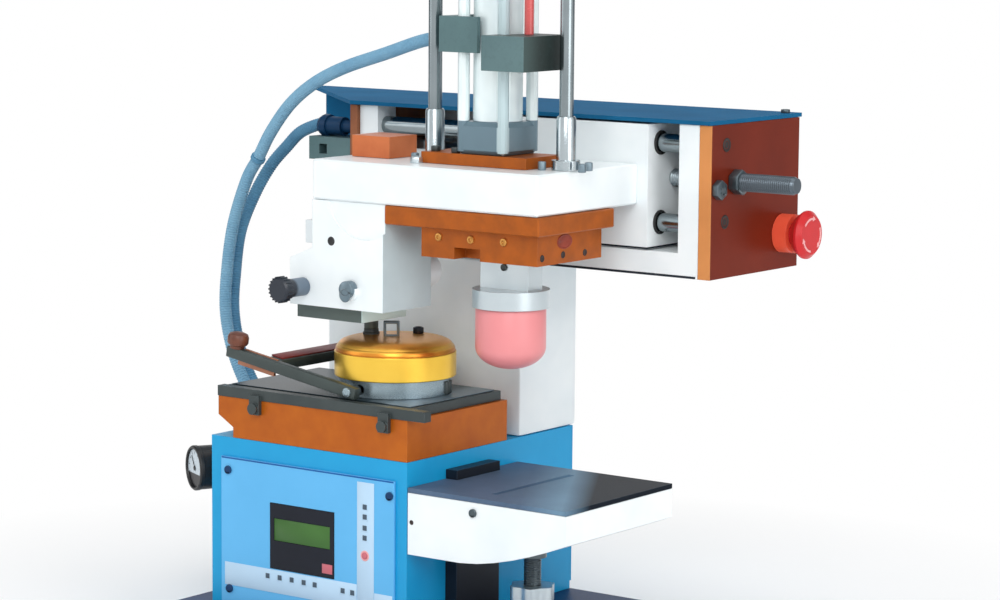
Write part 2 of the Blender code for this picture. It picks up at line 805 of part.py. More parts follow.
def add_hook(bar, index, x, bar_front):
    """A clamp hook that drops down the front of the plate base, with its screw head."""
    back = cabinet_front - GAP
    front = back - HOOK_THICKNESS
    low_z = bed_bottom - HOOK_DROP
    hook = block("hook_%d" % index, (x - HOOK_WIDTH / 2, front, low_z),
                 (x + HOOK_WIDTH / 2, back, bed_bottom + BAR_HEIGHT / 2))
    head_z = low_z + HOOK_WIDTH / 2
    head = rod("hook_screw_%d" % index, HOOK_SCREW_DIAMETER / 2, HOOK_SCREW_HEAD + HOOK_THICKNESS / 2,
               (x, front + HOOK_THICKNESS / 2, head_z), "-Y", STEPS_SMALL)
    join(bar, hook, head)


def make_column():
    low = (cabinet_left, cabinet_front + COLUMN_FRONT, cabinet_top + GAP)
    high = (cabinet_right, cabinet_front + COLUMN_FRONT + COLUMN_DEPTH, column_top)
    column = block("column", low, high)
    soften(column, COLUMN_EDGE, COLUMN_EDGE_STEPS)
    finish_object(column, white_paint())


def make_housing():
    shell = block("upper_housing", (housing_left, housing_front, housing_bottom),
                  (housing_right, housing_back, housing_top))
    hollow = block("housing_hollow", (housing_left - OVERRUN, housing_front - OVERRUN, floor_top),
                   (cheek_left, housing_back - HOUSING_BACK_WALL, housing_top + OVERRUN))
    stop_y, stop_z = cabinet_front + STOP_Y, cabinet_top + STOP_Z
    hole = rod("cheek_hole", STOP_DIAMETER / 2 + RUNNING_GAP, HOUSING_CHEEK + 2 * OVERRUN,
               (cheek_left - OVERRUN, stop_y, stop_z), "+X", STEPS_SMALL)
    cut(shell, hollow, hole)
    finish_object(shell, white_paint())

    cover_back = housing_back + GAP + COVER_THICKNESS
    cover_bottom = housing_top + GAP
    right = housing_right + GAP + END_PLATE_THICKNESS
    front = housing_front - COVER_LIP
    outline = [(cabinet_right - COVER_NEAR_LEFT, front), (right, front), (right, cover_back),
               (cabinet_right - COVER_FAR_LEFT, cover_back)]
    cover = prism("housing_cover", outline, cover_bottom, cover_bottom + COVER_THICKNESS, "XY")
    back = block("cover_back", (cabinet_right - COVER_BACK_LEFT, housing_back + GAP, housing_bottom),
                 (housing_right, cover_back, cover_bottom + COVER_THICKNESS / 2))
    join(cover, back)
    finish_object(cover, dark_blue())

    plate_left = housing_right + GAP
    end_plate = block("end_plate", (plate_left, housing_front, housing_bottom),
                      (plate_left + END_PLATE_THICKNESS, housing_back, housing_top))
    plate_hole = rod("end_plate_hole", STOP_DIAMETER / 2 + RUNNING_GAP, END_PLATE_THICKNESS + 2 * OVERRUN,
                     (plate_left - OVERRUN, stop_y, stop_z), "+X", STEPS_SMALL)
    cut(end_plate, plate_hole)
    finish_object(end_plate, orange_anodised())


def make_rear_supports():
    """The orange cross plate, the white rod support and the dark block at the housing's left end."""
    bottom = floor_top + GAP
    top = housing_top - GAP
    back = housing_back - HOUSING_BACK_WALL - GAP
    plate = block("rear_plate", (rear_plate_left, housing_front, bottom), (rear_plate_right, back, top))
    finish_object(plate, orange_anodised())

    guide_y = cabinet_front + GUIDE_Y
    left = rear_plate_right + GAP
    support = block("rod_support", (left, guide_y - ROD_SUPPORT_DEPTH / 2, bottom),
                    (left + ROD_SUPPORT_LENGTH, guide_y + ROD_SUPPORT_DEPTH / 2, top))
    finish_object(support, bare_aluminium())

    right = rear_plate_left - GAP
    dark_left = right - DARK_BLOCK_LENGTH
    dark_top = housing_top - DARK_BLOCK_TOP
    dark = block("dark_block", (dark_left, housing_front, dark_top - DARK_BLOCK_HEIGHT),
                 (right, housing_front + DARK_BLOCK_DEPTH, dark_top))
    hole_left = dark_left + DARK_BLOCK_HOLE_FROM_LEFT
    hole_top = dark_top - DARK_BLOCK_HOLE_FROM_TOP
    hole = block("dark_block_hole", (hole_left, housing_front - OVERRUN, hole_top - DARK_BLOCK_HOLE),
                 (hole_left + DARK_BLOCK_HOLE, housing_front + DARK_BLOCK_HOLE_DEPTH, hole_top))
    cut(dark, hole)
    finish_object(dark, grey_green())


def make_guide_rods():
    start = rear_plate_right + GAP + ROD_SUPPORT_LENGTH + GAP
    length = cheek_left - GAP - start
    y = cabinet_front + GUIDE_Y
    for name, height in (("guide_rod_upper", GUIDE_UPPER_Z), ("guide_rod_lower", GUIDE_LOWER_Z)):
        bar = rod(name, GUIDE_DIAMETER / 2, length, (start, y, cabinet_top + height), "+X")
        finish_object(bar, bright_steel(), smooth=True)


def square_cylinder(name, width, length, cap_near, cap_far, barrel, corner, place, axis):
    """A tie-rod cylinder: two square caps and a round barrel, along an axis from a place."""
    half = width / 2
    turn = AXIS_TURNS[axis]
    inside = Vector(place) + turn @ Vector((0, 0, cap_near / 2))
    body = rod(name, barrel / 2, length - (cap_near + cap_far) / 2, inside, axis)
    for index, (start, end) in enumerate(((0, cap_near), (length - cap_far, length))):
        corners = [Vector(place) + turn @ Vector((side * half, side * half, reach))
                   for side, reach in ((-1, start), (1, end))]
        low = [min(a, b) for a, b in zip(*corners)]
        high = [max(a, b) for a, b in zip(*corners)]
        join(body, soften(block("%s_cap_%d" % (name, index), low, high), corner))
    return body


def make_drive_cylinder():
    y, z = cabinet_front + DRIVE_Y, cabinet_top + DRIVE_Z
    start = rear_plate_right + GAP
    cylinder = square_cylinder("drive_cylinder", DRIVE_WIDTH, DRIVE_LENGTH, DRIVE_CAP_LENGTH,
                               DRIVE_CAP_LENGTH, DRIVE_BARREL_DIAMETER, CYLINDER_CORNER, (start, y, z), "+X")
    bore = rod("drive_bore", DRIVE_ROD_DIAMETER / 2 + RUNNING_GAP, DRIVE_LENGTH,
               (start + DRIVE_BORE_END_WALL, y, z), "+X", STEPS_SMALL)
    cut(cylinder, bore)
    finish_object(cylinder, bare_aluminium(), smooth=True)

    inner = start + DRIVE_LENGTH - DRIVE_ROD_INSIDE
    lug_left = cabinet_right + BEARING_RIGHT - LUG_FROM_RIGHT - LUG_LENGTH
    shaft = rod("drive_rod", DRIVE_ROD_DIAMETER / 2, lug_left - GAP - inner, (inner, y, z), "+X",
                STEPS_SMALL)
    finish_object(shaft, bright_steel(), smooth=True)


def make_stop_screw():
    """A threaded stop that the carriage meets, locked by nuts on both sides of the housing's end."""
    y, z = cabinet_front + STOP_Y, cabinet_top + STOP_Z
    inner_face = cheek_left - GAP
    outer_face = housing_right + GAP + END_PLATE_THICKNESS + GAP
    start = cabinet_right + BEARING_RIGHT + STOP_END_GAP
    end = outer_face + STOP_OUTSIDE
    screw = rod("stop_screw", STOP_DIAMETER / 2, end - start, (start, y, z), "+X")
    outer_nut = rod("outer_nut", STOP_NUT_WIDTH / 2, STOP_NUT_THICKNESS, (outer_face, y, z), "+X",
                    SIDES_NUT)
    inner_nut = rod("inner_nut", STOP_NUT_WIDTH / 2, INNER_NUT_THICKNESS,
                    (inner_face - INNER_NUT_THICKNESS, y, z), "+X", SIDES_NUT)
    join(screw, outer_nut, inner_nut)
    finish_object(screw, dark_steel(), smooth=True)


def make_estop():
    y, z = cabinet_front + ESTOP_Y, cabinet_top + ESTOP_Z
    face = housing_right + GAP + END_PLATE_THICKNESS + GAP
    outer, bore = ESTOP_COLLAR_DIAMETER / 2, ESTOP_STEM_DIAMETER / 2 + RUNNING_GAP
    floor = ESTOP_COLLAR_LENGTH - ESTOP_STEM_INSIDE - ESTOP_TRAVEL - RUNNING_GAP
    profile = [(0, 0), (outer, 0), (outer, ESTOP_COLLAR_LENGTH), (bore, ESTOP_COLLAR_LENGTH),
               (bore, floor), (0, floor)]
    collar = turned("estop_collar", profile, (face, y, z), "+X")
    finish_object(collar, red_plastic(), smooth=True)

    stem = ESTOP_STEM_DIAMETER / 2
    neck = ESTOP_NECK_DIAMETER / 2
    head = ESTOP_HEAD_DIAMETER / 2
    back = ESTOP_STEM_INSIDE + ESTOP_HEAD_GAP
    front = back + ESTOP_HEAD_LENGTH
    profile = [(0, 0), (stem, 0), (stem, back), (neck, back), (head, back + ESTOP_HEAD_LENGTH / 2),
               (head, front - ESTOP_HEAD_ROUND), (head - ESTOP_HEAD_ROUND, front), (0, front)]
    place = (face + ESTOP_COLLAR_LENGTH - ESTOP_STEM_INSIDE, y, z)
    button = turned("estop_button", profile, place, "+X", STEPS_LARGE)
    finish_object(button, red_plastic(), smooth=True)


def lift_rod_spots():
    """X of the left and right guide rods of the pad lift."""
    middle = lift_x + ROD_SHIFT
    return {"left": middle - ROD_SPREAD, "right": middle + ROD_SPREAD}


def make_carriage():
    left = cabinet_right - CARRIAGE_LEFT
    right = cabinet_right + CARRIAGE_RIGHT
    plate = block("carriage_plate", (left, cabinet_front + CARRIAGE_FRONT, carriage_bottom),
                  (right, cabinet_front + CARRIAGE_BACK, carriage_top))
    soften(plate, CARRIAGE_EDGE)
    through = CARRIAGE_THICKNESS + 2 * OVERRUN
    for side, x in lift_rod_spots().items():
        hole = rod("bush_hole_" + side, BUSH_DIAMETER / 2 + RUNNING_GAP, through,
                   (x, print_y, carriage_bottom - OVERRUN))
        cut(plate, hole)
    cut(plate, rod("piston_hole", PISTON_DIAMETER / 2 + RUNNING_GAP, through,
                   (lift_x, print_y, carriage_bottom - OVERRUN)))
    finish_object(plate, white_paint())

    for side, x in lift_rod_spots().items():
        make_bush("bush_" + side, x, flanged=side == "right")
    make_bearing_block()


def make_bush(name, x, flanged):
    """A sleeve pressed into the carriage plate, round one lift rod."""
    inner = ROD_DIAMETER / 2 + RUNNING_GAP
    outer = BUSH_DIAMETER / 2
    flange = BUSH_FLANGE_DIAMETER / 2
    base = CARRIAGE_THICKNESS + GAP
    top = base + BUSH_HEIGHT
    profile = [(inner, 0), (outer, 0)]
    if flanged:
        profile += [(outer, base), (flange, base), (flange, base + BUSH_FLANGE_THICKNESS),
                    (outer, base + BUSH_FLANGE_THICKNESS)]
    profile += [(outer, top - BUSH_TIP), (outer - BUSH_TIP / 2, top), (inner, top)]
    bush = turned(name, profile, (x, print_y, carriage_bottom))
    finish_object(bush, bright_steel(), smooth=True)


def make_bearing_block():
    left = cabinet_right - BEARING_LEFT
    right = cabinet_right + BEARING_RIGHT
    front = cabinet_front + CARRIAGE_BACK + GAP
    body = block("bearing_block", (left, front, cabinet_top + BEARING_BOTTOM),
                 (right, cabinet_front + BEARING_BACK, cabinet_top + BEARING_TOP))
    drive_y, drive_z = cabinet_front + DRIVE_Y, cabinet_top + DRIVE_Z
    lug_right = right - LUG_FROM_RIGHT
    lug = block("drive_lug", (lug_right - LUG_LENGTH, cabinet_front + BEARING_BACK - OVERRUN,
                              drive_z - LUG_HEIGHT / 2),
                (lug_right, drive_y + DRIVE_WIDTH / 2, drive_z + LUG_HEIGHT / 2))
    join(body, lug)
    length = BEARING_LEFT + BEARING_RIGHT + 2 * OVERRUN
    for index, height in enumerate((GUIDE_UPPER_Z, GUIDE_LOWER_Z)):
        bore = rod("guide_bore_%d" % index, GUIDE_DIAMETER / 2 + RUNNING_GAP, length,
                   (left - OVERRUN, cabinet_front + GUIDE_Y, cabinet_top + height), "+X")
        cut(body, bore)
    finish_object(body, white_paint())


def make_pad_cylinder():
    half = CYLINDER_WIDTH / 2
    plate_bottom = carriage_top + GAP
    plate = block("cylinder_plate", (lift_x - FOOT_PLATE_LEFT, print_y - half, plate_bottom),
                  (lift_x + FOOT_PLATE_RIGHT, print_y + half, plate_bottom + FOOT_PLATE_THICKNESS))
    bottom = plate_bottom + FOOT_PLATE_THICKNESS + GAP
    through = FOOT_PLATE_THICKNESS + 2 * OVERRUN
    hole = rod("foot_plate_hole", PISTON_DIAMETER / 2 + RUNNING_GAP, through,
               (lift_x, print_y, plate_bottom - OVERRUN))
    bite = rod("foot_plate_bite", BUSH_DIAMETER / 2 + RUNNING_GAP, through,
               (lift_rod_spots()["left"], print_y, plate_bottom - OVERRUN))
    cut(plate, hole, bite)
    finish_object(plate, orange_anodised())

    cylinder = square_cylinder("pad_cylinder", CYLINDER_WIDTH, CYLINDER_LENGTH, CYLINDER_LOWER_CAP,
                               CYLINDER_UPPER_CAP, CYLINDER_BARREL, CAP_CORNER,
                               (lift_x, print_y, bottom), "+Z")
    for side_x in (-1, 1):
        for side_y in (-1, 1):
            add_tie_rod(cylinder, side_x, side_y, bottom)
    port = rod("top_port", PORT_DIAMETER / 2, PORT_HEIGHT,
               (lift_x + half - PORT_DIAMETER, print_y, bottom + CYLINDER_LENGTH - OVERRUN), "+Z",
               STEPS_SMALL)
    bore = rod("piston_bore", PISTON_DIAMETER / 2 + RUNNING_GAP, CYLINDER_LENGTH - CYLINDER_UPPER_CAP,
               (lift_x, print_y, bottom - OVERRUN))
    join(cylinder, port)
    cut(cylinder, bore)
    finish_object(cylinder, bare_aluminium(), smooth=True)

    start = carriage_bottom - FLANGE_DROP + GAP
    top = bottom + CYLINDER_LENGTH - CYLINDER_UPPER_CAP - PISTON_TOP_GAP
    piston = rod("piston_rod", PISTON_DIAMETER / 2, top - start, (lift_x, print_y, start))
    finish_object(piston, bright_steel(), smooth=True)


def add_tie_rod(cylinder, side_x, side_y, bottom):
    place = (lift_x + side_x * TIE_ROD_OFFSET, print_y + side_y * TIE_ROD_OFFSET, bottom + OVERRUN)
    length = CYLINDER_LENGTH - OVERRUN + CAP_NUT_HEIGHT
    label = "%d%d" % (side_x + 1, side_y + 1)
    join(cylinder, rod("tie_rod_" + label, TIE_ROD_DIAMETER / 2, length, place, "+Z",
                       SIDES_TIE_ROD))


def l_block(name, front_low, front_high, arm_left, arm_right, arm_back):
    """A valve body with a clamping arm that runs back along the cylinder's side."""
    body = block(name, front_low, front_high)
    arm = block(name + "_arm", (arm_left, front_high[1] - OVERRUN, front_low[2]),
                (arm_right, arm_back, front_high[2]))
    return join(body, arm)


def make_valves():
    reach = TIE_ROD_OFFSET + TIE_ROD_DIAMETER / 2 + GAP
    body_back = print_y - reach
    left = cabinet_right - VALVE_L_LEFT
    bottom = cabinet_top + VALVE_L_BOTTOM
    low = (left, cabinet_front + VALVE_L_FRONT, bottom)
    high = (cabinet_right + VALVE_L_RIGHT, body_back, bottom + VALVE_L_HEIGHT)
    body = l_block("valve_left", low, high, left, lift_x - reach, cabinet_front + VALVE_L_ARM_BACK)
    gland_y, gland_z = valve_gland_axis()
    gland = rod("valve_gland", VALVE_GLAND_DIAMETER / 2, VALVE_GLAND_LENGTH + OVERRUN,
                (left + OVERRUN, gland_y, gland_z), "-X", STEPS_SMALL)
    join(body, gland)
    finish_object(body, grey_green(), smooth=True)

    right = cabinet_right + VALVE_R_RIGHT
    bottom = cabinet_top + VALVE_R_BOTTOM
    low = (cabinet_right + VALVE_R_LEFT, cabinet_front + VALVE_R_FRONT, bottom)
    high = (right, body_back, bottom + VALVE_R_HEIGHT)
    body = l_block("valve_right", low, high, lift_x + reach, right, cabinet_front + VALVE_R_ARM_BACK)
    finish_object(body, grey_green())
    make_air_tube(high[2])


def valve_gland_axis():
    """Y and Z of the hose gland on the left valve."""
    return cabinet_front + VALVE_GLAND_Y, cabinet_top + VALVE_L_BOTTOM + VALVE_GLAND_ABOVE


def smooth_path(points, samples):
    """Points spaced along a Catmull-Rom curve through a route's own points."""
    spots = [Vector(point) for point in points]
    spots = [2 * spots[0] - spots[1]] + spots + [2 * spots[-1] - spots[-2]]
    path = []
    for index in range(1, len(spots) - 2):
        a, b, c, d = spots[index - 1:index + 3]
        for step in range(samples):
            t = step / samples
            path.append(0.5 * ((2 * b) + (c - a) * t + (2 * a - 5 * b + 4 * c - d) * t ** 2
                               + (3 * b - a - 3 * c + d) * t ** 3))
    path.append(spots[-2])
    return path


def make_air_tube(valve_top):
    """The air tube from the right valve up beside the cylinder to its top cap."""
    x, y = cabinet_right + TUBE_X, cabinet_front + TUBE_Y
    bottom = valve_top + GAP
    top = bottom + TUBE_RISE
    radius = TUBE_DIAMETER / 2
    tube = rod("air_tube", radius, top - bottom, (x, y, bottom), "+Z", SIDES_TUBE)
    finish_object(tube, red_plastic(), smooth=True)


def make_top_block():
    left = cabinet_right - TOP_BLOCK_LEFT
    front = cabinet_front + TOP_BLOCK_FRONT
    bottom = carriage_top + GAP
    top = block("top_block", (left, front, bottom),
                (left + TOP_BLOCK_LENGTH, front + TOP_BLOCK_DEPTH, bottom + TOP_BLOCK_HEIGHT))
    finish_object(top, orange_anodised())


def make_hanging_bracket():
    """The white arm that hangs from the carriage above the ink cup."""
    left = cabinet_right - HANGER_LEFT
    right = cabinet_right - HANGER_RIGHT
    toe = cabinet_right - HANGER_TOE_LEFT
    bottom = cabinet_top + HANGER_BOTTOM
    top = carriage_bottom - GAP
    outline = [(toe, bottom), (right, bottom), (right, top), (left, top),
               (left, cabinet_top + HANGER_SHOULDER), (toe, cabinet_top + HANGER_TOE_TOP)]
    front = cabinet_front + CARRIAGE_FRONT
    back = front + HANGER_DEPTH
    arm = prism("hanging_bracket", outline, front, back)
    boss_x = right - BOSS_FROM_RIGHT
    boss = rod("hanger_boss", BOSS_DIAMETER / 2, BOSS_LENGTH + OVERRUN,
               (boss_x, back - OVERRUN, cabinet_top + BOSS_Z), "+Y")
    knob_z = cabinet_top + KNOB_Z
    screw = rod("hanger_screw", HANGER_SCREW_DIAMETER / 2, HANGER_SCREW_HEAD + OVERRUN,
                (cabinet_right - HANGER_SCREW_X, front + OVERRUN, knob_z), "-Y", STEPS_SMALL)
    hollow = rod("hanger_hollow", HANGER_HOLLOW_RADIUS, HANGER_HOLLOW_DEPTH + OVERRUN,
                 (cabinet_right - HANGER_HOLLOW_X, front - OVERRUN, cabinet_top + HANGER_HOLLOW_Z), "+Y",
                 STEPS_LARGE)
    cut(arm, hollow)
    join(arm, boss, screw)
    finish_object(arm, white_paint())

    stem, head = KNOB_STEM_DIAMETER / 2, KNOB_HEAD_DIAMETER / 2
    length = KNOB_STEM_LENGTH + KNOB_HEAD_LENGTH
    rim = KNOB_HEAD_LENGTH * KNOB_RIM_SHARE
    profile = [(0, 0), (stem, 0), (stem, KNOB_STEM_LENGTH), (head - rim, KNOB_STEM_LENGTH),
               (head, KNOB_STEM_LENGTH + rim), (head, length - rim), (head - rim, length), (0, length)]
    knob = turned("bracket_knob", profile, (cabinet_right - KNOB_X, front - GAP, knob_z), "-Y")
    finish_object(knob, black_plastic(), smooth=True)

    plate_top_z = bottom - GAP
    plate_bottom = plate_top_z - PRESS_PLATE_THICKNESS
    plate = block("press_plate", (cabinet_right - PRESS_PLATE_LEFT, cabinet_front + PRESS_PLATE_FRONT,
                                  plate_bottom),
                  (cabinet_right - PRESS_PLATE_RIGHT, cabinet_front + PRESS_PLATE_BACK, plate_top_z))
    pin = rod("press_pin", PRESS_PIN_DIAMETER / 2, PRESS_PIN_LENGTH + OVERRUN,
              (cabinet_right - PRESS_PIN_X, print_y, plate_bottom + OVERRUN), "-Z", STEPS_SMALL)
    join(plate, pin)
    finish_object(plate, grey_green())


def make_lift():
    top = carriage_bottom - FLANGE_DROP
    flange = block("lift_flange", (cabinet_right - FLANGE_LEFT, print_y - FLANGE_WIDTH / 2,
                                   top - FLANGE_THICKNESS),
                   (cabinet_right + FLANGE_RIGHT, print_y + FLANGE_WIDTH / 2, top))
    soften(flange, FLANGE_EDGE)
    finish_object(flange, orange_anodised())

    for side, x in lift_rod_spots().items():
        radius, collar = ROD_DIAMETER / 2, COLLAR_DIAMETER / 2
        collar_start = ROD_HEIGHT - COLLAR_LENGTH
        profile = [(0, 0), (radius, 0), (radius, collar_start), (collar, collar_start),
                   (collar, ROD_HEIGHT), (0, ROD_HEIGHT)]
        guide = turned("lift_rod_" + side, profile, (x, print_y, top + GAP))
        finish_object(guide, bright_steel(), smooth=True)

    block_top = top - FLANGE_THICKNESS - GAP
    block_bottom = block_top - ADJUSTER_HEIGHT
    front = print_y - ADJUSTER_WIDTH / 2
    body = block("adjusting_block", (pad_x - ADJUSTER_LENGTH / 2, front, block_bottom),
                 (pad_x + ADJUSTER_LENGTH / 2, front + ADJUSTER_WIDTH, block_top))
    slot_middle = pad_x - SLOT_FROM_PAD
    slot = block("front_slot", (slot_middle - SLOT_WIDTH / 2, front - OVERRUN, block_bottom - OVERRUN),
                 (slot_middle + SLOT_WIDTH / 2, front + SLOT_DEPTH, block_bottom + SLOT_HEIGHT))
    cut(body, slot)
    finish_object(body, orange_anodised())
    make_pad(block_bottom - GAP)


def make_pad(holder_top):
    half_length, half_width = HOLDER_LENGTH / 2, HOLDER_WIDTH / 2
    stem_bottom = holder_top - HOLDER_HEIGHT
    ring_bottom_z = stem_bottom - HOLDER_RING_HEIGHT
    ring = rod("pad_holder", HOLDER_RING_DIAMETER / 2, HOLDER_RING_HEIGHT, (pad_x, print_y, ring_bottom_z),
               "+Z", STEPS_LARGE)
    stem = block("holder_stem", (pad_x - half_length, print_y - half_width, stem_bottom - OVERRUN),
                 (pad_x + half_length, print_y + half_width, holder_top))
    join(ring, stem)
    finish_object(ring, bare_aluminium(), smooth=True)

    radius = PAD_DIAMETER / 2
    profile = [(0, 0)]
    for index in range(1, PAD_ARC_POINTS + 1):
        turn = math.pi / 2 * index / PAD_ARC_POINTS
        profile.append((radius * math.sin(turn), PAD_SHOULDER * (1 - math.cos(turn))))
    profile += [(radius, PAD_HEIGHT), (0, PAD_HEIGHT)]
    pad = turned("pad", profile, (pad_x, print_y, ring_bottom_z - GAP - PAD_HEIGHT), "+Z", STEPS_LARGE)
    finish_object(pad, pink_silicone(), smooth=True)


def make_cup():
    outer = RING_DIAMETER / 2
    inner = outer - RING_WALL
    place = (cup_x, print_y, ring_bottom)
    ring = turned("cup_ring", [(inner, 0), (outer, 0), (outer, RING_HEIGHT), (inner, RING_HEIGHT)], place,
                  "+Z", STEPS_LARGE)
    pin_z = ring_bottom + FORK_PIN_HEIGHT
    bore_radius = FORK_PIN_DIAMETER / 2 + FORK_PIN_CLEARANCE
    hole = rod("ring_pin_hole", bore_radius, RING_DIAMETER + 2 * OVERRUN,
               (cup_x, print_y - outer - OVERRUN, pin_z), "+Y", STEPS_ROUND)
    cut(ring, hole)
    finish_object(ring, bare_aluminium(), smooth=True)

    band, step, top = CUP_DIAMETER / 2, CUP_DIAMETER / 2 - CUP_STEP, CUP_TOP_DIAMETER / 2
    step_top = CUP_BAND_HEIGHT + CUP_STEP_HEIGHT
    hollow, roof = band - CUP_WALL, CUP_HEIGHT - CUP_WALL
    profile = [(hollow, 0), (band, 0), (band, CUP_BAND_HEIGHT), (step, CUP_BAND_HEIGHT + CUP_STEP / 2),
               (step, step_top)]
    for index in range(1, CUP_ARC_POINTS + 1):
        turn = math.pi / 2 * index / CUP_ARC_POINTS
        profile.append((step - (step - top) * (1 - math.cos(turn)),
                        step_top + (CUP_HEIGHT - step_top) * math.sin(turn)))
    profile += [(0, CUP_HEIGHT), (0, roof), (hollow * CUP_ROOF_SHARE, roof), (hollow, step_top - CUP_WALL)]
    cup_place = (cup_x, print_y, ring_bottom + RING_HEIGHT + GAP)
    cup = turned_shell("ink_cup", profile, cup_place)
    finish_object(cup, gold_anodised(), smooth=True)
    make_fork(pin_z)


def turned_shell(name, profile, place):
    """Revolve a wall whose top closes on the axis, such as a cup's lid."""
    bm = bmesh.new()
    verts = [bm.verts.new((radius, 0, height)) for radius, height in profile]
    edges = []
    count = len(verts)
    for index in range(count):
        a, b = verts[index], verts[(index + 1) % count]
        if profile[index][0] == 0 and profile[(index + 1) % count][0] == 0:
            continue
        edges.append(bm.edges.new((a, b)))
    bmesh.ops.spin(bm, geom=verts + edges, cent=(0, 0, 0), axis=(0, 0, 1), angle=math.tau, steps=STEPS_LARGE,
                   use_merge=True)
    bmesh.ops.remove_doubles(bm, verts=bm.verts[:], dist=MERGE_DISTANCE)
    return object_from(bm, name, place)


def make_fork(pin_z):
    """A yoke that holds the ring at two side pins. It is drawn level and then tilted about them."""
    ring_radius = RING_DIAMETER / 2
    inner = ring_radius + FORK_SIDE_GAP
    outer = inner + FORK_ARM_WIDTH
    half = FORK_ARM_HEIGHT / 2
    eye = half
    web_right = -FORK_WEB_FROM_PIN
    web_left = web_right - FORK_WEB_WIDTH
    outline = [(eye, -outer), (eye, -inner), (web_right, -inner), (web_right, inner), (eye, inner),
               (eye, outer), (web_left, outer), (web_left, -inner), (-FORK_LENGTH, -inner),
               (-FORK_LENGTH, -outer)]
    fork = prism("cup_fork", outline, -half, half, "XY")
    knob = rod("fork_knob", FORK_KNOB_DIAMETER / 2, FORK_KNOB_HEIGHT + OVERRUN,
               (-FORK_LENGTH + FORK_KNOB_DIAMETER / 2, -inner - FORK_ARM_WIDTH / 2, half - OVERRUN), "+Z",
               STEPS_ROUND)
    join(fork, knob)
    reach = FORK_SIDE_GAP + FORK_PIN_DEPTH + OVERRUN
    for label, side, axis in (("near", -1, "+Y"), ("far", 1, "-Y")):
        start = side * (inner + OVERRUN)
        join(fork, rod("fork_pin_" + label, FORK_PIN_DIAMETER / 2, reach, (0, start, 0), axis, STEPS_SMALL))
    tilt = Matrix.Translation((cup_x, print_y, pin_z)) @ Matrix.Rotation(FORK_TILT, 4, "Y")
    bpy.context.view_layer.update()
    for thing in [fork] + [change.object for change in fork.modifiers]:
        thing.matrix_world = tilt @ thing.matrix_world
    finish_object(fork, dark_steel())


def make_table():
    """The work table: a casting that slides on the rail, with a slotted plate on top."""
    right = table_left + TABLE_LENGTH
    front = cabinet_front
    back = front + TABLE_WIDTH
    plate_bottom = table_top - TABLE_PLATE_THICKNESS
    top = plate_bottom - GAP
    root = table_top - TABLE_ROOT_DROP
    tip = table_top - TABLE_TIP_DROP
    flat = table_left + TABLE_FLAT_LENGTH
    outline = [(table_left, top), (table_left, root)]
    for index in range(TABLE_CURVE_POINTS + 1):
        share = index / TABLE_CURVE_POINTS
        rise = (tip - root) * share ** TABLE_CURVE_POWER
        outline.append((flat + (right - flat) * share, root + rise))
    outline.append((right, top))
    casting = prism("work_table", outline, front, back)
    notch_low = (cabinet_right - OVERRUN, front + RAIL_FRONT - RAIL_SIDE_GAP, root - OVERRUN)
    notch_high = (cabinet_right + GAP + RAIL_THICKNESS + RAIL_SIDE_GAP,
                  front + RAIL_FRONT + RAIL_WIDTH + RAIL_SIDE_GAP, table_top + OVERRUN)
    cut(casting, block("casting_notch", notch_low, notch_high))
    finish_object(casting, white_paint())

    plate = block("table_plate", (table_left, front, plate_bottom), (right, back, table_top))
    slot_middle = cabinet_right + TABLE_SLOT_X
    slot = block("table_slot", (slot_middle - TABLE_SLOT_WIDTH / 2, front + TABLE_SLOT_MARGIN,
                                plate_bottom + TABLE_PLATE_THICKNESS / 2),
                 (slot_middle + TABLE_SLOT_WIDTH / 2, back - TABLE_SLOT_MARGIN, table_top + OVERRUN))
    cut(plate, block("plate_notch", notch_low, notch_high), slot)
    finish_object(plate, dark_steel())

    rail_low = (cabinet_right + GAP, front + RAIL_FRONT, BASE_THICKNESS + GAP)
    rail_high = (cabinet_right + GAP + RAIL_THICKNESS, front + RAIL_FRONT + RAIL_WIDTH,
                 cabinet_top - RAIL_TOP_BELOW)
    rail = block("table_rail", rail_low, rail_high)
    finish_object(rail, dark_steel())
    make_leadscrew(root, flat, right, tip)


def make_leadscrew(root, flat, right, tip):
    spot = (cabinet_right + SCREW_X, cabinet_front + SCREW_Y)
    radius, head = SCREW_DIAMETER / 2, SCREW_HEAD_DIAMETER / 2
    # The screw's head sits flat against the casting's underside where its flat part ends.
    underside = root - GAP
    profile = [(0, 0), (head, 0), (head, SCREW_HEAD_HEIGHT), (radius, SCREW_HEAD_HEIGHT),
               (radius, SCREW_LENGTH), (0, SCREW_LENGTH)]
    screw = turned("leadscrew", profile, (*spot, underside), "-Z")
    finish_object(screw, bright_steel(), smooth=True)

    nut_bottom = BASE_THICKNESS + PILLAR_HEIGHT + GAP
    outline = []
    for index in range(HEIGHT_NUT_POINTS):
        turn = math.tau * index / HEIGHT_NUT_POINTS
        reach = HEIGHT_NUT_DIAMETER / 2 - HEIGHT_NUT_FLUTE * (1 - math.cos(HEIGHT_NUT_LOBES * turn)) / 2
        outline.append((reach * math.cos(turn), reach * math.sin(turn)))
    nut = prism("height_nut", outline, 0, HEIGHT_NUT_HEIGHT, "XY")
    nut.location = (*spot, nut_bottom)
    cut(nut, rod("height_nut_bore", SCREW_DIAMETER / 2 + RUNNING_GAP, HEIGHT_NUT_HEIGHT + 2 * OVERRUN,
                 (*spot, nut_bottom - OVERRUN)))
    finish_object(nut, bare_aluminium(), smooth=True)


def route_frame(path):
    """Two directions square to the path at each point, without sudden twist."""
    count = len(path)
    tangents = [(path[min(i + 1, count - 1)] - path[max(i - 1, 0)]).normalized() for i in range(count)]
    side = tangents[0].orthogonal().normalized()
    frames = []
    for tangent in tangents:
        side = (side - tangent * side.dot(tangent)).normalized()
        frames.append((side, tangent.cross(side)))
    return frames


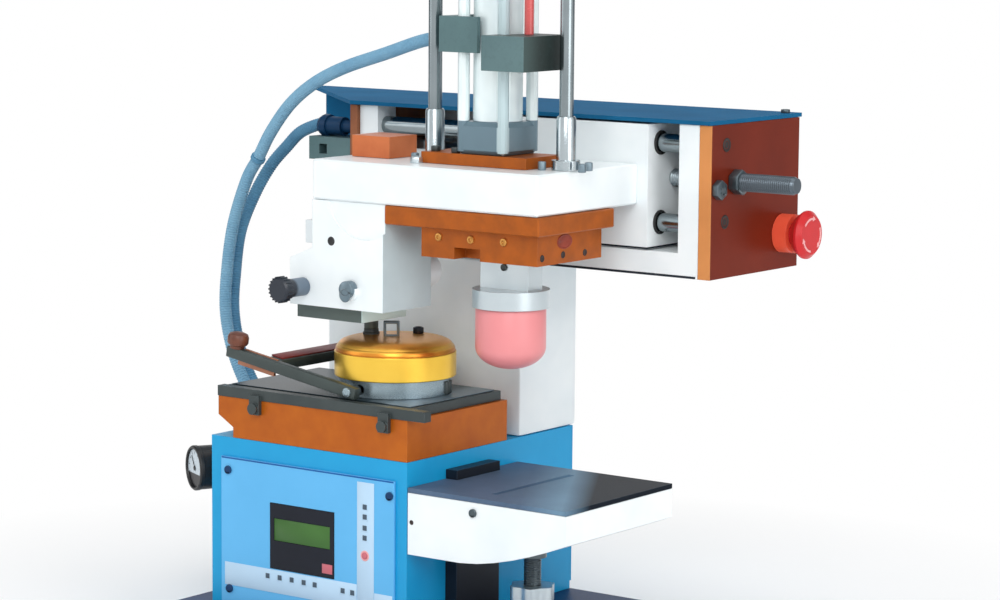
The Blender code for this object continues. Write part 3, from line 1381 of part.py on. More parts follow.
def even_points(path, count):
    """Resample a path to evenly spaced points."""
    lengths = [0.0]
    for a, b in zip(path, path[1:]):
        lengths.append(lengths[-1] + (b - a).length)
    spots = []
    index = 0
    for step in range(count + 1):
        target = lengths[-1] * step / count
        while index < len(path) - 2 and lengths[index + 1] < target:
            index += 1
        span = lengths[index + 1] - lengths[index]
        share = (target - lengths[index]) / span
        spots.append(path[index].lerp(path[index + 1], share))
    return spots


def sweep(bm, path, radii):
    """Rings of vertices along a path."""
    rings = []
    for point, (side, up), radius in zip(path, route_frame(path), radii):
        ring = []
        for index in range(HOSE_SIDES):
            turn = math.tau * index / HOSE_SIDES
            ring.append(bm.verts.new(point + (side * math.cos(turn) + up * math.sin(turn)) * radius))
        rings.append(ring)
    for a, b in zip(rings, rings[1:]):
        for index in range(HOSE_SIDES):
            after = (index + 1) % HOSE_SIDES
            bm.faces.new((a[index], a[after], b[after], b[index]))
    return rings


def ribbed_hose(name, route, ribs):
    """A ribbed conduit with its bore, whose ends run straight for a diameter."""
    path = even_points(smooth_path(route, HOSE_ROUTE_SAMPLES), 2 * ribs)
    crest = HOSE_DIAMETER / 2
    valley = crest - HOSE_GROOVE_DEPTH
    radii = [crest if index % 2 == 0 else valley for index in range(len(path))]
    bm = bmesh.new()
    outer = sweep(bm, path, radii)
    inner_path = path[::HOSE_BORE_STEP]
    if (len(path) - 1) % HOSE_BORE_STEP:
        inner_path.append(path[-1])
    inner = sweep(bm, inner_path, [HOSE_BORE_DIAMETER / 2] * len(inner_path))
    for ring_out, ring_in in ((outer[0], inner[0]), (outer[-1], inner[-1])):
        for index in range(HOSE_SIDES):
            after = (index + 1) % HOSE_SIDES
            bm.faces.new((ring_out[index], ring_out[after], ring_in[after], ring_in[index]))
    return finish_object(object_from(bm, name), hose_blue(), smooth=True)


def placed_route(points):
    return [(cabinet_right + x, cabinet_front + y, cabinet_top + z) for x, y, z in points]


def straight_end(x, y, z, length):
    """Points that lead a hose straight out of a gland, towards -X."""
    return [(x - length * share, y, z) for share in HOSE_END_SHARES]


def make_hoses():
    outlet_x = cabinet_left - GAP - OUTLET_PLATE_THICKNESS - OUTLET_BOSS_LENGTH - GAP
    straight = HOSE_DIAMETER
    lower_spots = outlet_spots()
    gland_y, gland_z = valve_gland_axis()
    valve_x = cabinet_right - VALVE_L_LEFT - VALVE_GLAND_LENGTH - GAP
    route = straight_end(valve_x, gland_y, gland_z, straight) + placed_route(CARRIAGE_HOSE_ROUTE)
    route += reversed(straight_end(outlet_x, *lower_spots[0], straight))
    ribbed_hose("hose_carriage", route, HOSE_RIBS_LONG)

    gland_right = rear_plate_left - GAP
    nut_right = gland_right - HOUSING_GLAND_NECK_LENGTH
    y, z = cabinet_front + HOUSING_GLAND_Y, cabinet_top + HOUSING_GLAND_Z
    neck, nut = HOUSING_GLAND_NECK / 2, HOUSING_GLAND_DIAMETER / 2
    length = HOUSING_GLAND_NECK_LENGTH + HOUSING_GLAND_LENGTH
    profile = [(0, 0), (neck, 0), (neck, HOUSING_GLAND_NECK_LENGTH), (nut, HOUSING_GLAND_NECK_LENGTH),
               (nut, length), (0, length)]
    gland = turned("housing_gland", profile, (gland_right, y, z), "-X", STEPS_SMALL)
    finish_object(gland, dark_blue(), smooth=True)
    start = nut_right - HOUSING_GLAND_LENGTH - GAP
    route = straight_end(start, y, z, straight) + placed_route(HOUSING_HOSE_ROUTE)
    route += reversed(straight_end(outlet_x, *lower_spots[1], straight))
    ribbed_hose("hose_housing", route, HOSE_RIBS_SHORT)


def main():
    clear_scene()
    make_base()
    make_cabinet()
    make_control_panel()
    make_gauge()
    make_hose_outlet()
    make_plate_base()
    make_column()
    make_housing()
    make_rear_supports()
    make_guide_rods()
    make_drive_cylinder()
    make_stop_screw()
    make_estop()
    make_carriage()
    make_pad_cylinder()
    make_valves()
    make_top_block()
    make_hanging_bracket()
    make_lift()
    make_cup()
    make_table()
    make_hoses()
    bpy.context.view_layer.update()


main()
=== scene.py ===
"""Looks of the bench pad printing machine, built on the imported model. Metres, +Z up.

Places on the machine are in millimetres from the cabinet's near top corner, and at() makes them metres.
Colours of finishes are as seen, from 0 to 255.
"""
import math

import bpy
from mathutils import Matrix, Vector


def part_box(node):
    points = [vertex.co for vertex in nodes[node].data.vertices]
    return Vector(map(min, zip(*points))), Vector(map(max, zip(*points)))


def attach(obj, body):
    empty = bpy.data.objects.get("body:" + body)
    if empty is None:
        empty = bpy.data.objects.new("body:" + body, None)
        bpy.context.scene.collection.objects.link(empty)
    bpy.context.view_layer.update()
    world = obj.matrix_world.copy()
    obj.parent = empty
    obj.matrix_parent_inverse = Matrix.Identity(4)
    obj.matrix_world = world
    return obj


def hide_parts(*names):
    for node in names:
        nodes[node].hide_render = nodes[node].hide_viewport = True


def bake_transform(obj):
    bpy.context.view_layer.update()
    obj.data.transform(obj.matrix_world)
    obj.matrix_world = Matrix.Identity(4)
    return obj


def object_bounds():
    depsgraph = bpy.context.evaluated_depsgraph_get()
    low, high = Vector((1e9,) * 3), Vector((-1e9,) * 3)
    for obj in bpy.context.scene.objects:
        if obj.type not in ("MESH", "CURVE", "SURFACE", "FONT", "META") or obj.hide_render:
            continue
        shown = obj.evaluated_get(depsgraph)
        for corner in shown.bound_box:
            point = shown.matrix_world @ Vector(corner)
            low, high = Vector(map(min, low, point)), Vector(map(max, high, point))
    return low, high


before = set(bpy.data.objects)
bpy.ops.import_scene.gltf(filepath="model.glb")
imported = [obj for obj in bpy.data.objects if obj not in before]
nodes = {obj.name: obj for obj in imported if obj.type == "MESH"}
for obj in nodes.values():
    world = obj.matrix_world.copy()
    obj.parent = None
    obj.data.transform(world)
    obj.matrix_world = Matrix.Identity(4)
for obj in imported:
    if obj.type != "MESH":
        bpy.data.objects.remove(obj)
cad_low, cad_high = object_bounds()

ops = bpy.ops
MM = 0.001
X, Y, Z = Vector((1, 0, 0)), Vector((0, 1, 0)), Vector((0, 0, 1))
SMOOTH_ANGLE = math.radians(32)
THREAD_DEPTH, THREAD_PITCH = 0.6, 2.0
cabinet_low, cabinet_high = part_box("cabinet")
CORNER = Vector((cabinet_high.x, cabinet_low.y, cabinet_high.z))


# Places

def span(x, y, z):
    """A step in millimetres, as a vector in metres."""
    return Vector((x, y, z)) * MM


def put(place, **coordinates):
    """A place with some coordinates, in metres, set to another piece's."""
    place = place.copy()
    for name, value in coordinates.items():
        setattr(place, name, value)
    return place


def at(right, back, up, **coordinates):
    """A place in millimetres from the cabinet's near top corner, put level with other pieces."""
    return put(CORNER + span(right, back, up), **coordinates)


def node_middle(name):
    low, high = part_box(name)
    return (low + high) / 2


def box_sides(name):
    """A node's lower and upper corner and its middle."""
    low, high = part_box(name)
    return low, high, (low + high) / 2


def facing(direction):
    """The turn that brings +Z to a direction."""
    return Vector(direction).to_track_quat("Z", "Y").to_matrix().to_4x4()


# Shader nodes

def srgb(red, green, blue):
    """A colour from 0 to 255 as the shader's linear colour."""
    def linear(value):
        value /= 255
        return value / 12.92 if value <= 0.04045 else ((value + 0.055) / 1.055) ** 2.4
    return linear(red), linear(green), linear(blue), 1.0


def given(node, **values):
    """A node with some of its inputs or settings given."""
    for name, value in values.items():
        if name in node.inputs:
            node.inputs[name].default_value = value
        else:
            setattr(node, name, value)
    return node


def wired(tree, kind, **values):
    return given(tree.nodes.new(kind), **values)


def mixed(tree, factor, first, second):
    """A colour mix: the second input is a socket or a plain colour."""
    mix = wired(tree, "ShaderNodeMix", data_type="RGBA")
    tree.links.new(factor, mix.inputs["Factor"])
    for name, value in (("A", first), ("B", second)):
        if isinstance(value, tuple):
            mix.inputs[name].default_value = value
        else:
            tree.links.new(value, mix.inputs[name])
    return mix.outputs["Result"]


def ramp(tree, value, low, high, top=1.0, bottom=0.0):
    """How far a value has come from low to high, as a number from bottom to top."""
    ends = {"From Min": low, "From Max": high, "To Min": bottom, "To Max": top}
    spread = wired(tree, "ShaderNodeMapRange", **ends)
    tree.links.new(value, spread.inputs["Value"])
    return spread.outputs["Result"]


def noise(tree, place, scale, detail, roughness=0.5):
    grains = wired(tree, "ShaderNodeTexNoise", Scale=scale, Detail=detail, Roughness=roughness)
    tree.links.new(place, grains.inputs["Vector"])
    return grains.outputs["Fac"]


def scaled(colour, share):
    return tuple(value * share for value in colour[:3]) + (1.0,)


def chained(tree, operation, values):
    """One value made of several by repeating a math operation."""
    result = values[0]
    for value in values[1:]:
        node = wired(tree, "ShaderNodeMath", operation=operation)
        tree.links.new(result, node.inputs[0])
        tree.links.new(value, node.inputs[1])
        result = node.outputs["Value"]
    return result


def along(tree, vector, direction):
    """How far a vector reaches along a fixed direction."""
    product = wired(tree, "ShaderNodeVectorMath", operation="DOT_PRODUCT")
    tree.links.new(vector, product.inputs[0])
    product.inputs[1].default_value = direction
    return product.outputs["Value"]


def blended(tree, factor, first, second):
    """Two shaders mixed by a factor."""
    mix = wired(tree, "ShaderNodeMixShader")
    for socket, name in ((factor, "Fac"), (first, 1), (second, 2)):
        tree.links.new(socket, mix.inputs[name])
    return mix.outputs["Shader"]


def new_material(name):
    """A material, its node tree and its surface shader."""
    made = bpy.data.materials.new(name)
    made.use_nodes = True
    return made, made.node_tree, made.node_tree.nodes["Principled BSDF"]


# Camera and room

LENS = 112.03
SENSOR_WIDTH = 36
CLIP = (0.1, 40)
CAMERA_PLACE = (1592.8, -2023.1, 477.6)
CAMERA_DEGREES = (36.5, 7.5, 0.46)
LAMP_AIM = Vector((0, 0, 0.3))
LAMPS = {
    "key_light": ((1.25, -2.1, 1.75), (1.3, 1.3), 30),
    "right_light": ((2.3, -0.5, 0.9), (1.3, 1.5), 15),
    "left_light": ((-1.9, -1.5, 1.2), (1.2, 1.7), 8),
    "top_light": ((0.1, 0.3, 2.3), (1.8, 1.8), 12),
}
WHITE = (1, 1, 1, 1)
ROOM_COLOUR = (0.96, 0.985, 1.0, 1)
ROOM_STRENGTH = 0.56
DIM_COLOUR = (0.2, 0.22, 0.24, 1)
TOWARDS_LAMPS = (0.595, -0.804, 0)
BACKDROP_EDGE = (-0.9, -0.7)
LAMP_EDGE = (0.1, -0.2)
PAPER_COLOUR = (0.98, 0.985, 0.99, 1)
PAPER_ROUGHNESS = 0.9
FLOOR_SIZE = 14
FLOOR_FADE = (0.34, 0.72)


def make_camera():
    data = bpy.data.cameras.new("camera")
    data.lens = LENS
    data.sensor_width = SENSOR_WIDTH
    data.clip_start, data.clip_end = CLIP
    camera = bpy.data.objects.new("camera", data)
    bpy.context.scene.collection.objects.link(camera)
    yaw, pitch, roll = (math.radians(angle) for angle in CAMERA_DEGREES)
    look = Vector((-math.sin(yaw) * math.cos(pitch), math.cos(yaw) * math.cos(pitch), -math.sin(pitch)))
    turn = look.to_track_quat("-Z", "Y").to_matrix() @ Matrix.Rotation(roll, 3, "Z")
    camera.matrix_world = Matrix.Translation(at(*CAMERA_PLACE)) @ turn.to_4x4()
    bpy.context.scene.camera = camera


def area_light(name, place, size, power):
    data = bpy.data.lights.new(name, "AREA")
    data.shape = "RECTANGLE"
    data.size, data.size_y = size
    data.energy = power
    lamp = bpy.data.objects.new(name, data)
    bpy.context.scene.collection.objects.link(lamp)
    lamp.location = place
    lamp.rotation_euler = (LAMP_AIM - Vector(place)).to_track_quat("-Z", "Y").to_euler()


def seen_rays(tree):
    """1 for the rays that only see: from the camera, off gloss, or through glass."""
    path = wired(tree, "ShaderNodeLightPath")
    rays = ("Is Camera Ray", "Is Glossy Ray", "Is Transmission Ray")
    return chained(tree, "MAXIMUM", [path.outputs[ray] for ray in rays])


def dim_sides(tree):
    """How far gloss meets the dim parts of the room, which are on both sides of the backdrop."""
    ray = wired(tree, "ShaderNodeTexCoord").outputs["Generated"]
    gloss = wired(tree, "ShaderNodeLightPath").outputs["Is Glossy Ray"]
    towards = along(tree, ray, TOWARDS_LAMPS)
    edges = [ramp(tree, towards, *edge) for edge in (BACKDROP_EDGE, LAMP_EDGE)]
    return chained(tree, "MULTIPLY", [gloss] + edges)


def make_world():
    """An even pale light. What is seen of the room is white, and dimmer at its sides for gloss."""
    world = bpy.data.worlds.new("studio")
    bpy.context.scene.world = world
    world.use_nodes = True
    tree = world.node_tree
    light = given(tree.nodes["Background"], Color=ROOM_COLOUR, Strength=ROOM_STRENGTH)
    seen = wired(tree, "ShaderNodeBackground", Strength=1.0)
    tree.links.new(mixed(tree, dim_sides(tree), WHITE, DIM_COLOUR), seen.inputs["Color"])
    both = blended(tree, seen_rays(tree), light.outputs["Background"], seen.outputs["Background"])
    tree.links.new(both, tree.nodes["World Output"].inputs["Surface"])


def make_floor():
    """White paper that keeps the machine's shadow and fades into the backdrop."""
    ops.mesh.primitive_plane_add(size=FLOOR_SIZE, location=(0, 0, cad_low.z))
    floor = bpy.context.active_object
    ops.object.transform_apply()
    floor.name = "floor"
    paper, tree, shader = new_material("paper_floor")
    given(shader, Roughness=PAPER_ROUGHNESS, **{"Base Color": PAPER_COLOUR})
    reach = wired(tree, "ShaderNodeVectorMath", operation="LENGTH")
    tree.links.new(wired(tree, "ShaderNodeTexCoord").outputs["Object"], reach.inputs[0])
    share = chained(tree, "MULTIPLY", [seen_rays(tree), ramp(tree, reach.outputs["Value"], *FLOOR_FADE)])
    lit = wired(tree, "ShaderNodeEmission", Color=WHITE, Strength=1.0)
    both = blended(tree, share, shader.outputs["BSDF"], lit.outputs["Emission"])
    tree.links.new(both, tree.nodes["Material Output"].inputs["Surface"])
    floor.data.materials.append(paper)


def make_room():
    make_world()
    for name, (place, size, power) in LAMPS.items():
        area_light(name, place, size, power)
    make_floor()


# Finishes

ROUGH_SWING, LEAST_ROUGH = 0.06, 0.02
COAT_ROUGHNESS = 0.12
SHADE_SHARE = 0.86
SPECKLE_SHARE = 0.45
DRIFT_NOISE, GRAIN_NOISE, SPECKLE_NOISE = (3.0, 0.6), (2.0, 0.55), (4.0, 0.7)
WEAR_NOISE = (70.0, 3.0)
DRIFT_EDGES = (0.35, 0.72)
SPECKLE_EDGES = (0.52, 0.7)
RUBBED_EDGES = (0.995, 0.90)
MOST_RUBBED = 0.55
GRAIN_DEPTH = 0.0004


def zoned_colour(tree, place, colour, shade, patch, zones):
    """A slow drift between two tones, which turns to a zone's own colour past that zone's edge."""
    drifted = ramp(tree, noise(tree, place, patch, *DRIFT_NOISE), *DRIFT_EDGES)
    result = mixed(tree, drifted, colour, shade)
    for direction, low, high, zone_colour in zones:
        reached = ramp(tree, along(tree, place, direction), low * MM, high * MM)
        tone = srgb(*zone_colour)
        result = mixed(tree, reached, result, mixed(tree, drifted, tone, scaled(tone, SHADE_SHARE)))
    return result


def add_wear(tree, colour_out, eased, place, wear):
    """Corners rubbed to a paler or darker tone, where the eased normal leaves the flat one."""
    shape = wired(tree, "ShaderNodeNewGeometry")
    straight = wired(tree, "ShaderNodeVectorMath", operation="DOT_PRODUCT")
    tree.links.new(eased.outputs["Normal"], straight.inputs[0])
    tree.links.new(shape.outputs["Normal"], straight.inputs[1])
    rubbed = ramp(tree, straight.outputs["Value"], *RUBBED_EDGES, MOST_RUBBED)
    both = chained(tree, "MULTIPLY", [rubbed, noise(tree, place, *WEAR_NOISE)])
    return mixed(tree, both, colour_out, srgb(*wear))


def finish_material(name, colour, shade, roughness=0.4, metallic=0.0, patch=14, grain=700, bump=0.06,
                    coat=0.0, stretch=(1, 1, 1), edge=0.0006, wear=None, speckle=0.0, specular=0.5, zones=()):
    """A surface with slow colour drift, fine grain, eased edges and worn corners.

    A zone is (direction, low, high, colour): along that direction, in millimetres, the surface
    turns to that colour between low and high. Many zones below are painted light and painted shade.
    """
    made, tree, shader = new_material(name)
    link = tree.links.new
    coating = {"Specular IOR Level": specular, "Coat Weight": coat, "Coat Roughness": COAT_ROUGHNESS}
    given(shader, Metallic=metallic, **coating)
    place = wired(tree, "ShaderNodeTexCoord").outputs["Object"]
    tone = srgb(*colour)
    second_tone = srgb(*shade) if shade else scaled(tone, SHADE_SHARE)
    colour_out = zoned_colour(tree, place, tone, second_tone, patch, zones)

    stretched = wired(tree, "ShaderNodeMapping", Scale=stretch)
    link(place, stretched.inputs["Vector"])
    fine = noise(tree, stretched.outputs["Vector"], grain, *GRAIN_NOISE)
    rough = ramp(tree, fine, 0.0, 1.0, roughness + ROUGH_SWING, max(roughness - ROUGH_SWING, LEAST_ROUGH))
    link(rough, shader.inputs["Roughness"])

    eased = wired(tree, "ShaderNodeBevel", samples=4, Radius=edge)
    raised = wired(tree, "ShaderNodeBump", Strength=bump, Distance=GRAIN_DEPTH)
    link(fine, raised.inputs["Height"])
    link(eased.outputs["Normal"], raised.inputs["Normal"])
    link(raised.outputs["Normal"], shader.inputs["Normal"])

    if speckle:
        share = ramp(tree, noise(tree, place, grain / 3, *SPECKLE_NOISE), *SPECKLE_EDGES, speckle)
        colour_out = mixed(tree, share, colour_out, scaled(tone, SPECKLE_SHARE))
    if wear:
        colour_out = add_wear(tree, colour_out, eased, place, wear)
    link(colour_out, shader.inputs["Base Color"])
    return made


# Where the +X sides of the press plate and the hanging bracket start: zones there make the press plate's side
# paler, as painted light, and the bracket's side darker, as painted shade.
PRESS_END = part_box("press_plate")[1].x / MM
BRACKET_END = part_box("hanging_bracket")[1].x / MM

FILM = dict(roughness=0.45, bump=0.02, grain=1500, edge=0.0003, specular=0.3)
ENAMEL = dict(roughness=0.34, bump=0.05, coat=0.2, wear=(208, 216, 220))
ORANGE = dict(grain=420, stretch=(1, 1, 9), specular=0.3)
HOSE = dict(roughness=0.5, patch=30, bump=0.05, specular=0.3)
GREEN = dict(roughness=0.46, metallic=0.25, grain=800, bump=0.07, wear=(130, 152, 150), speckle=0.2)

# Each finish: its colour, its second tone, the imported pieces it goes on, and what differs from the usual.

FINISHES = dict(
    white_enamel=((242, 247, 248), (230, 238, 241),
        "column upper_housing carriage_plate work_table rod_support", ENAMEL),
    # Painted shade: the hanging bracket's +X side turns darker, as if in the pad's shadow.
    bracket_enamel=((242, 247, 248), (230, 238, 241), "hanging_bracket", dict(ENAMEL,
        zones=[((1, 0, 0), BRACKET_END - 0.6, BRACKET_END - 0.2, (194, 210, 214))])),
    # Painted light: the bearing block's +X side turns paler, to lighten that shaded side.
    block_enamel=((242, 247, 248), (230, 238, 241), "bearing_block", dict(grain=420, wear=(170, 190, 205),
        zones=[((1, 0, 0), 160.0, 160.6, (250, 254, 255))])),
    sky_enamel=((26, 160, 214), (22, 152, 207), "cabinet rear_cover", dict(coat=0.1, wear=(90, 190, 235),
        specular=0.25)),
    lid_enamel=((30, 100, 142), (26, 90, 130), "housing_cover", dict(roughness=0.6, bump=0.08,
        wear=(90, 140, 170), specular=0.02)),
    base_enamel=((26, 62, 104), (18, 48, 86), "base_plate", dict(roughness=0.45, grain=600, bump=0.08,
        wear=(60, 100, 140), specular=0.2)),
    panel_film=((100, 184, 236), (94, 178, 230), "control_panel", FILM),
    pale_film=((190, 218, 240), (182, 212, 236), "", FILM),
    # Painted shadow: the dark blue of the thin line along the control panel's top edge.
    line_blue=((20, 96, 168), (16, 84, 152), "", FILM),
    orange_anodise=((188, 98, 18), (172, 84, 16), "plate_base", dict(ORANGE, metallic=0.25, patch=34,
        wear=(222, 140, 66))),
    deep_orange=((174, 88, 20), (150, 76, 22), "cylinder_plate lift_flange adjusting_block", dict(ORANGE,
        roughness=0.38, metallic=0.3, patch=60, wear=(214, 130, 70))),
    dull_orange=((150, 92, 60), (126, 76, 52), "rear_plate", dict(metallic=0.25, patch=40, grain=420,
        wear=(200, 140, 100), specular=0.3)),
    pale_orange=((204, 112, 62), (188, 96, 48), "top_block", dict(roughness=0.36, metallic=0.3, patch=34,
        grain=420, stretch=(1, 1, 9), wear=(236, 170, 110))),
    # Painted light: the end plate's front face turns pale orange.
    end_anodise=((118, 39, 20), (106, 34, 17), "end_plate", dict(roughness=0.36, metallic=0.2, grain=420,
        stretch=(1, 1, 9), bump=0.05, wear=(170, 90, 60), specular=0.12,
        zones=[((0, -1, 0), -61.2, -60.6, (222, 148, 88))])),
    # Painted shade: the side recess is a shallow raised shape in this darker red.
    recess_red=((150, 58, 38), (120, 44, 30), "", dict(metallic=0.3, patch=90, grain=420)),
    # Painted shade: holes are shallow raised rings in this near-black colour.
    dark_hole=((40, 24, 20), (28, 18, 16), "", dict(roughness=0.5)),
    # Painted shade and painted highlight: above the bright band the cup's shoulder turns darker orange, and
    # paler bands higher up and on the top stand for highlights.
    gold_anodise=((250, 208, 84), (242, 194, 72), "ink_cup", dict(roughness=0.3, metallic=0.85, grain=500,
        stretch=(1, 1, 30), bump=0.05, specular=0.4, zones=[((0, 0, 1), 247.4, 247.7, (222, 144, 54)),
        ((0, 0, 1), 250.6, 251.6, (240, 182, 76)), ((0, 0, 1), 254.6, 255.6, (255, 182, 84)),
        ((0, 0, 1), 258.9, 259.3, (255, 182, 98))])),
    polished_steel=((150, 160, 164), (128, 138, 142),
        "guide_rod_upper guide_rod_lower drive_rod lift_rod_left lift_rod_right piston_rod",
        dict(roughness=0.2, metallic=1.0, grain=900, bump=0.02)),
    bush_steel=((188, 198, 202), (160, 170, 175), "bush_left bush_right", dict(roughness=0.22, metallic=1.0,
        grain=900, bump=0.02)),
    turned_alloy=((206, 216, 220), (188, 200, 206), "drive_cylinder pad_holder height_nut",
        dict(roughness=0.3, metallic=0.85, stretch=(1, 1, 14), bump=0.04)),
    ring_alloy=((158, 176, 184), (130, 148, 158), "cup_ring", dict(roughness=0.28, metallic=0.75, patch=24,
        grain=600, stretch=(1, 1, 14), bump=0.05)),
    # Below the barrel the lower cap turns grey-blue. Painted shade: the part towards the front right corner
    # turns darker.
    cylinder_alloy=((238, 248, 248), (206, 220, 224), "pad_cylinder", dict(roughness=0.34, metallic=0.3,
        stretch=(1, 1, 0.1), bump=0.04, zones=[((0, 0, -1), -452.6, -452.0, (106, 130, 142)),
        ((0.7071, -0.7071, 0), 102.3, 103.2, (188, 208, 212))])),
    dark_oxide=((66, 74, 74), (52, 60, 62), "magnet_bed front_bar hose_outlet", dict(roughness=0.42,
        metallic=0.4, grain=600, bump=0.08, wear=(130, 142, 146))),
    bolt_steel=((92, 104, 110), (66, 78, 84), "", dict(roughness=0.34, metallic=0.7, patch=60,
        wear=(180, 190, 196))),
    thread_steel=((98, 108, 116), (78, 88, 95), "stop_screw", dict(roughness=0.32, metallic=0.8, bump=0.04,
        wear=(150, 160, 168), zones=[((-1, 0, 0), -210.0, -206.0, (168, 180, 186))])),
    pale_steel=((126, 144, 154), (98, 116, 126), "", dict(roughness=0.36, metallic=0.5, patch=60,
        wear=(190, 200, 206))),
    lead_steel=((96, 106, 110), (70, 80, 84), "leadscrew", dict(roughness=0.3, metallic=0.85, bump=0.04,
        wear=(160, 170, 176))),
    # Painted shadow and reflection: the plate is dark where the fork arm's shadow and reflection fall, and
    # paler towards +X.
    ink_plate=((46, 62, 70), (38, 52, 60), "printing_plate", dict(roughness=0.34, metallic=0.3, patch=20,
        stretch=(1, 8, 1), bump=0.03, specular=0.3, zones=[((1, 0, 0), -8.0, 4.0, (120, 138, 150))])),
    # Painted reflection: across the table plate a paler band, then a dark band towards the back right.
    slate_steel=((92, 112, 138), (80, 98, 120), "table_plate", dict(roughness=0.45, metallic=0.1, grain=500,
        stretch=(1, 26, 1), bump=0.05, wear=(140, 156, 170), specular=0.05,
        zones=[((1, 0.609, 0), 84.0, 122.0, (116, 148, 172)), ((1, 0.609, 0), 126.0, 152.0, (18, 26, 36))])),
    green_alloy=((88, 118, 120), (76, 102, 106), "dark_block valve_left", GREEN),
    # Painted shade: behind its front face the valve turns darker, and darker still towards the back.
    valve_alloy=((94, 122, 124), (80, 106, 110), "valve_right", dict(GREEN,
        zones=[((0, 1, 0), -79.3, -78.7, (66, 84, 82)), ((0, 1, 0), -76.0, -56.0, (38, 50, 48))])),
    # Painted light: the press plate's +X side turns much paler.
    press_alloy=((84, 96, 92), (74, 86, 84), "press_plate", dict(GREEN, speckle=0.0, wear=(130, 150, 148),
        zones=[((1, 0, 0), PRESS_END - 0.8, PRESS_END - 0.3, (206, 228, 226))])),
    fork_steel=((66, 76, 74), (50, 58, 58), "cup_fork", dict(metallic=0.3, grain=600, bump=0.08,
        wear=(120, 128, 124))),
    rail_steel=((32, 38, 48), (26, 30, 38), "table_rail", dict(metallic=0.3, grain=600, wear=(90, 110, 130),
        specular=0.3)),
    matt_black=((26, 28, 30), (20, 21, 23), "pressure_gauge", dict(roughness=0.42, grain=900)),
    knob_navy=((28, 36, 48), (20, 26, 36), "bracket_knob", dict(roughness=0.38, grain=900,
        zones=[((0, 1, 0), -106.0, -103.0, (96, 112, 128))])),
    black_rubber=((32, 32, 33), (26, 26, 27),
        "foot_left_front foot_left_back foot_right_front foot_right_back", dict(roughness=0.75, bump=0.12)),
    stop_red=((208, 36, 40), (192, 30, 34), "estop_button", dict(roughness=0.34, grain=900, bump=0.02,
        coat=0.12, specular=0.3)),
    collar_red=((252, 98, 68), (242, 84, 58), "estop_collar", dict(roughness=0.34, grain=900, bump=0.02,
        coat=0.3)),
    mark_pink=((246, 176, 176), None, "", dict(grain=900, bump=0.02)),
    tube_red=((206, 84, 82), (192, 70, 70), "air_tube", dict(roughness=0.26, grain=900, bump=0.02,
        coat=0.3)),
    silicone=((230, 144, 146), (224, 136, 140), "pad", dict(roughness=0.36, grain=500, bump=0.03,
        specular=0.4)),
    hose_plastic=((126, 172, 198), (108, 156, 186), "hose_carriage", dict(HOSE, grain=900)),
    hose_shaded=((92, 146, 178), (74, 126, 160), "hose_housing", dict(HOSE, grain=900)),
    gland_blue=((14, 58, 94), (10, 46, 78), "housing_gland", dict(roughness=0.42, grain=900, bump=0.04,
        specular=0.2)),
    copper_strip=((178, 120, 92), (140, 92, 72), "", dict(metallic=0.4, grain=500, stretch=(18, 1, 1),
        bump=0.05)),
    dark_red=((132, 46, 42), (100, 34, 34), "", dict(metallic=0.3, grain=600, bump=0.05)),
    brown_knob=((108, 58, 38), (72, 36, 26), "", dict(patch=70, grain=600, bump=0.05, wear=(170, 110, 80))),
    brass=((216, 160, 84), (170, 112, 52), "", dict(roughness=0.3, metallic=0.8, patch=200, bump=0.03)),
    lcd_green=((74, 116, 60), (64, 104, 50), "", dict(roughness=0.34, grain=1500, bump=0.01, specular=0.2)),
    window_gloss=((28, 32, 44), (22, 26, 36), "display_window", dict(roughness=0.2, grain=900, bump=0.005,
        specular=0.2)),
    key_grey=((66, 84, 100), None, "", dict(roughness=0.45, grain=1200, bump=0.02)),
    key_red=((206, 106, 118), None, "", dict(grain=1200, bump=0.02)),
    dial_white=((206, 218, 226), None, "", dict(roughness=0.3, grain=1200, bump=0.01, specular=0.3,
        zones=[((0, 0, -1), -126.2, -125.6, (20, 22, 26))])),
    dial_mark=((70, 76, 84), None, "", dict(grain=1200, bump=0.02)),
)

looks = {}
for name, (colour, shade, _, values) in FINISHES.items():
    looks[name] = finish_material(name, colour, shade, **values)


# Modelling helpers

def only(piece):
    """Make one piece the only selected and active one."""
    ops.object.select_all(action="DESELECT")
    piece.select_set(True)
    bpy.context.view_layer.objects.active = piece


def dress(piece, name, finish, smooth=True):
    """Put a piece's place into its mesh, and give it its name and finish."""
    only(piece)
    ops.object.transform_apply()
    piece.name = name
    piece.data.name = name
    piece.data.materials.clear()
    piece.data.materials.append(looks[finish])
    if smooth:
        ops.object.shade_smooth_by_angle(angle=SMOOTH_ANGLE)
    return piece


def settle(piece, name, finish, body="frame", slot="dark_steel", smooth=True, copies=()):
    """Dress a piece and hand it to its body. Each copy is moved by its own step in millimetres."""
    dress(piece, name, finish, smooth)
    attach(piece, body)
    for index, step in enumerate(copies, 1):
        only(piece)
        ops.object.duplicate(linked=False)
        twin = bpy.context.active_object
        twin.parent = None
        twin.matrix_world = Matrix.Translation(span(*step))
        settle(twin, "%s_%d" % (name, index), finish, body, slot)
    return piece


def bevel(piece, width, segments=2):
    """Round the sharp edges by a width in millimetres."""
    only(piece)
    change = piece.modifiers.new("bevel", "BEVEL")
    change.width = width * MM
    change.segments = segments
    change.limit_method = "ANGLE"
    ops.object.modifier_apply(modifier=change.name)


def pick_faces(piece, wanted):
    """Go into edit mode with just the wanted faces selected."""
    only(piece)
    ops.object.mode_set(mode="EDIT")
    ops.mesh.select_mode(type="FACE")
    ops.mesh.select_all(action="DESELECT")
    ops.object.mode_set(mode="OBJECT")
    for face in piece.data.polygons:
        face.select = wanted(face)
    ops.object.mode_set(mode="EDIT")


def close_up():
    """Turn all faces outwards and leave edit mode."""
    ops.mesh.select_all(action="SELECT")
    ops.mesh.normals_make_consistent(inside=False)
    ops.object.mode_set(mode="OBJECT")


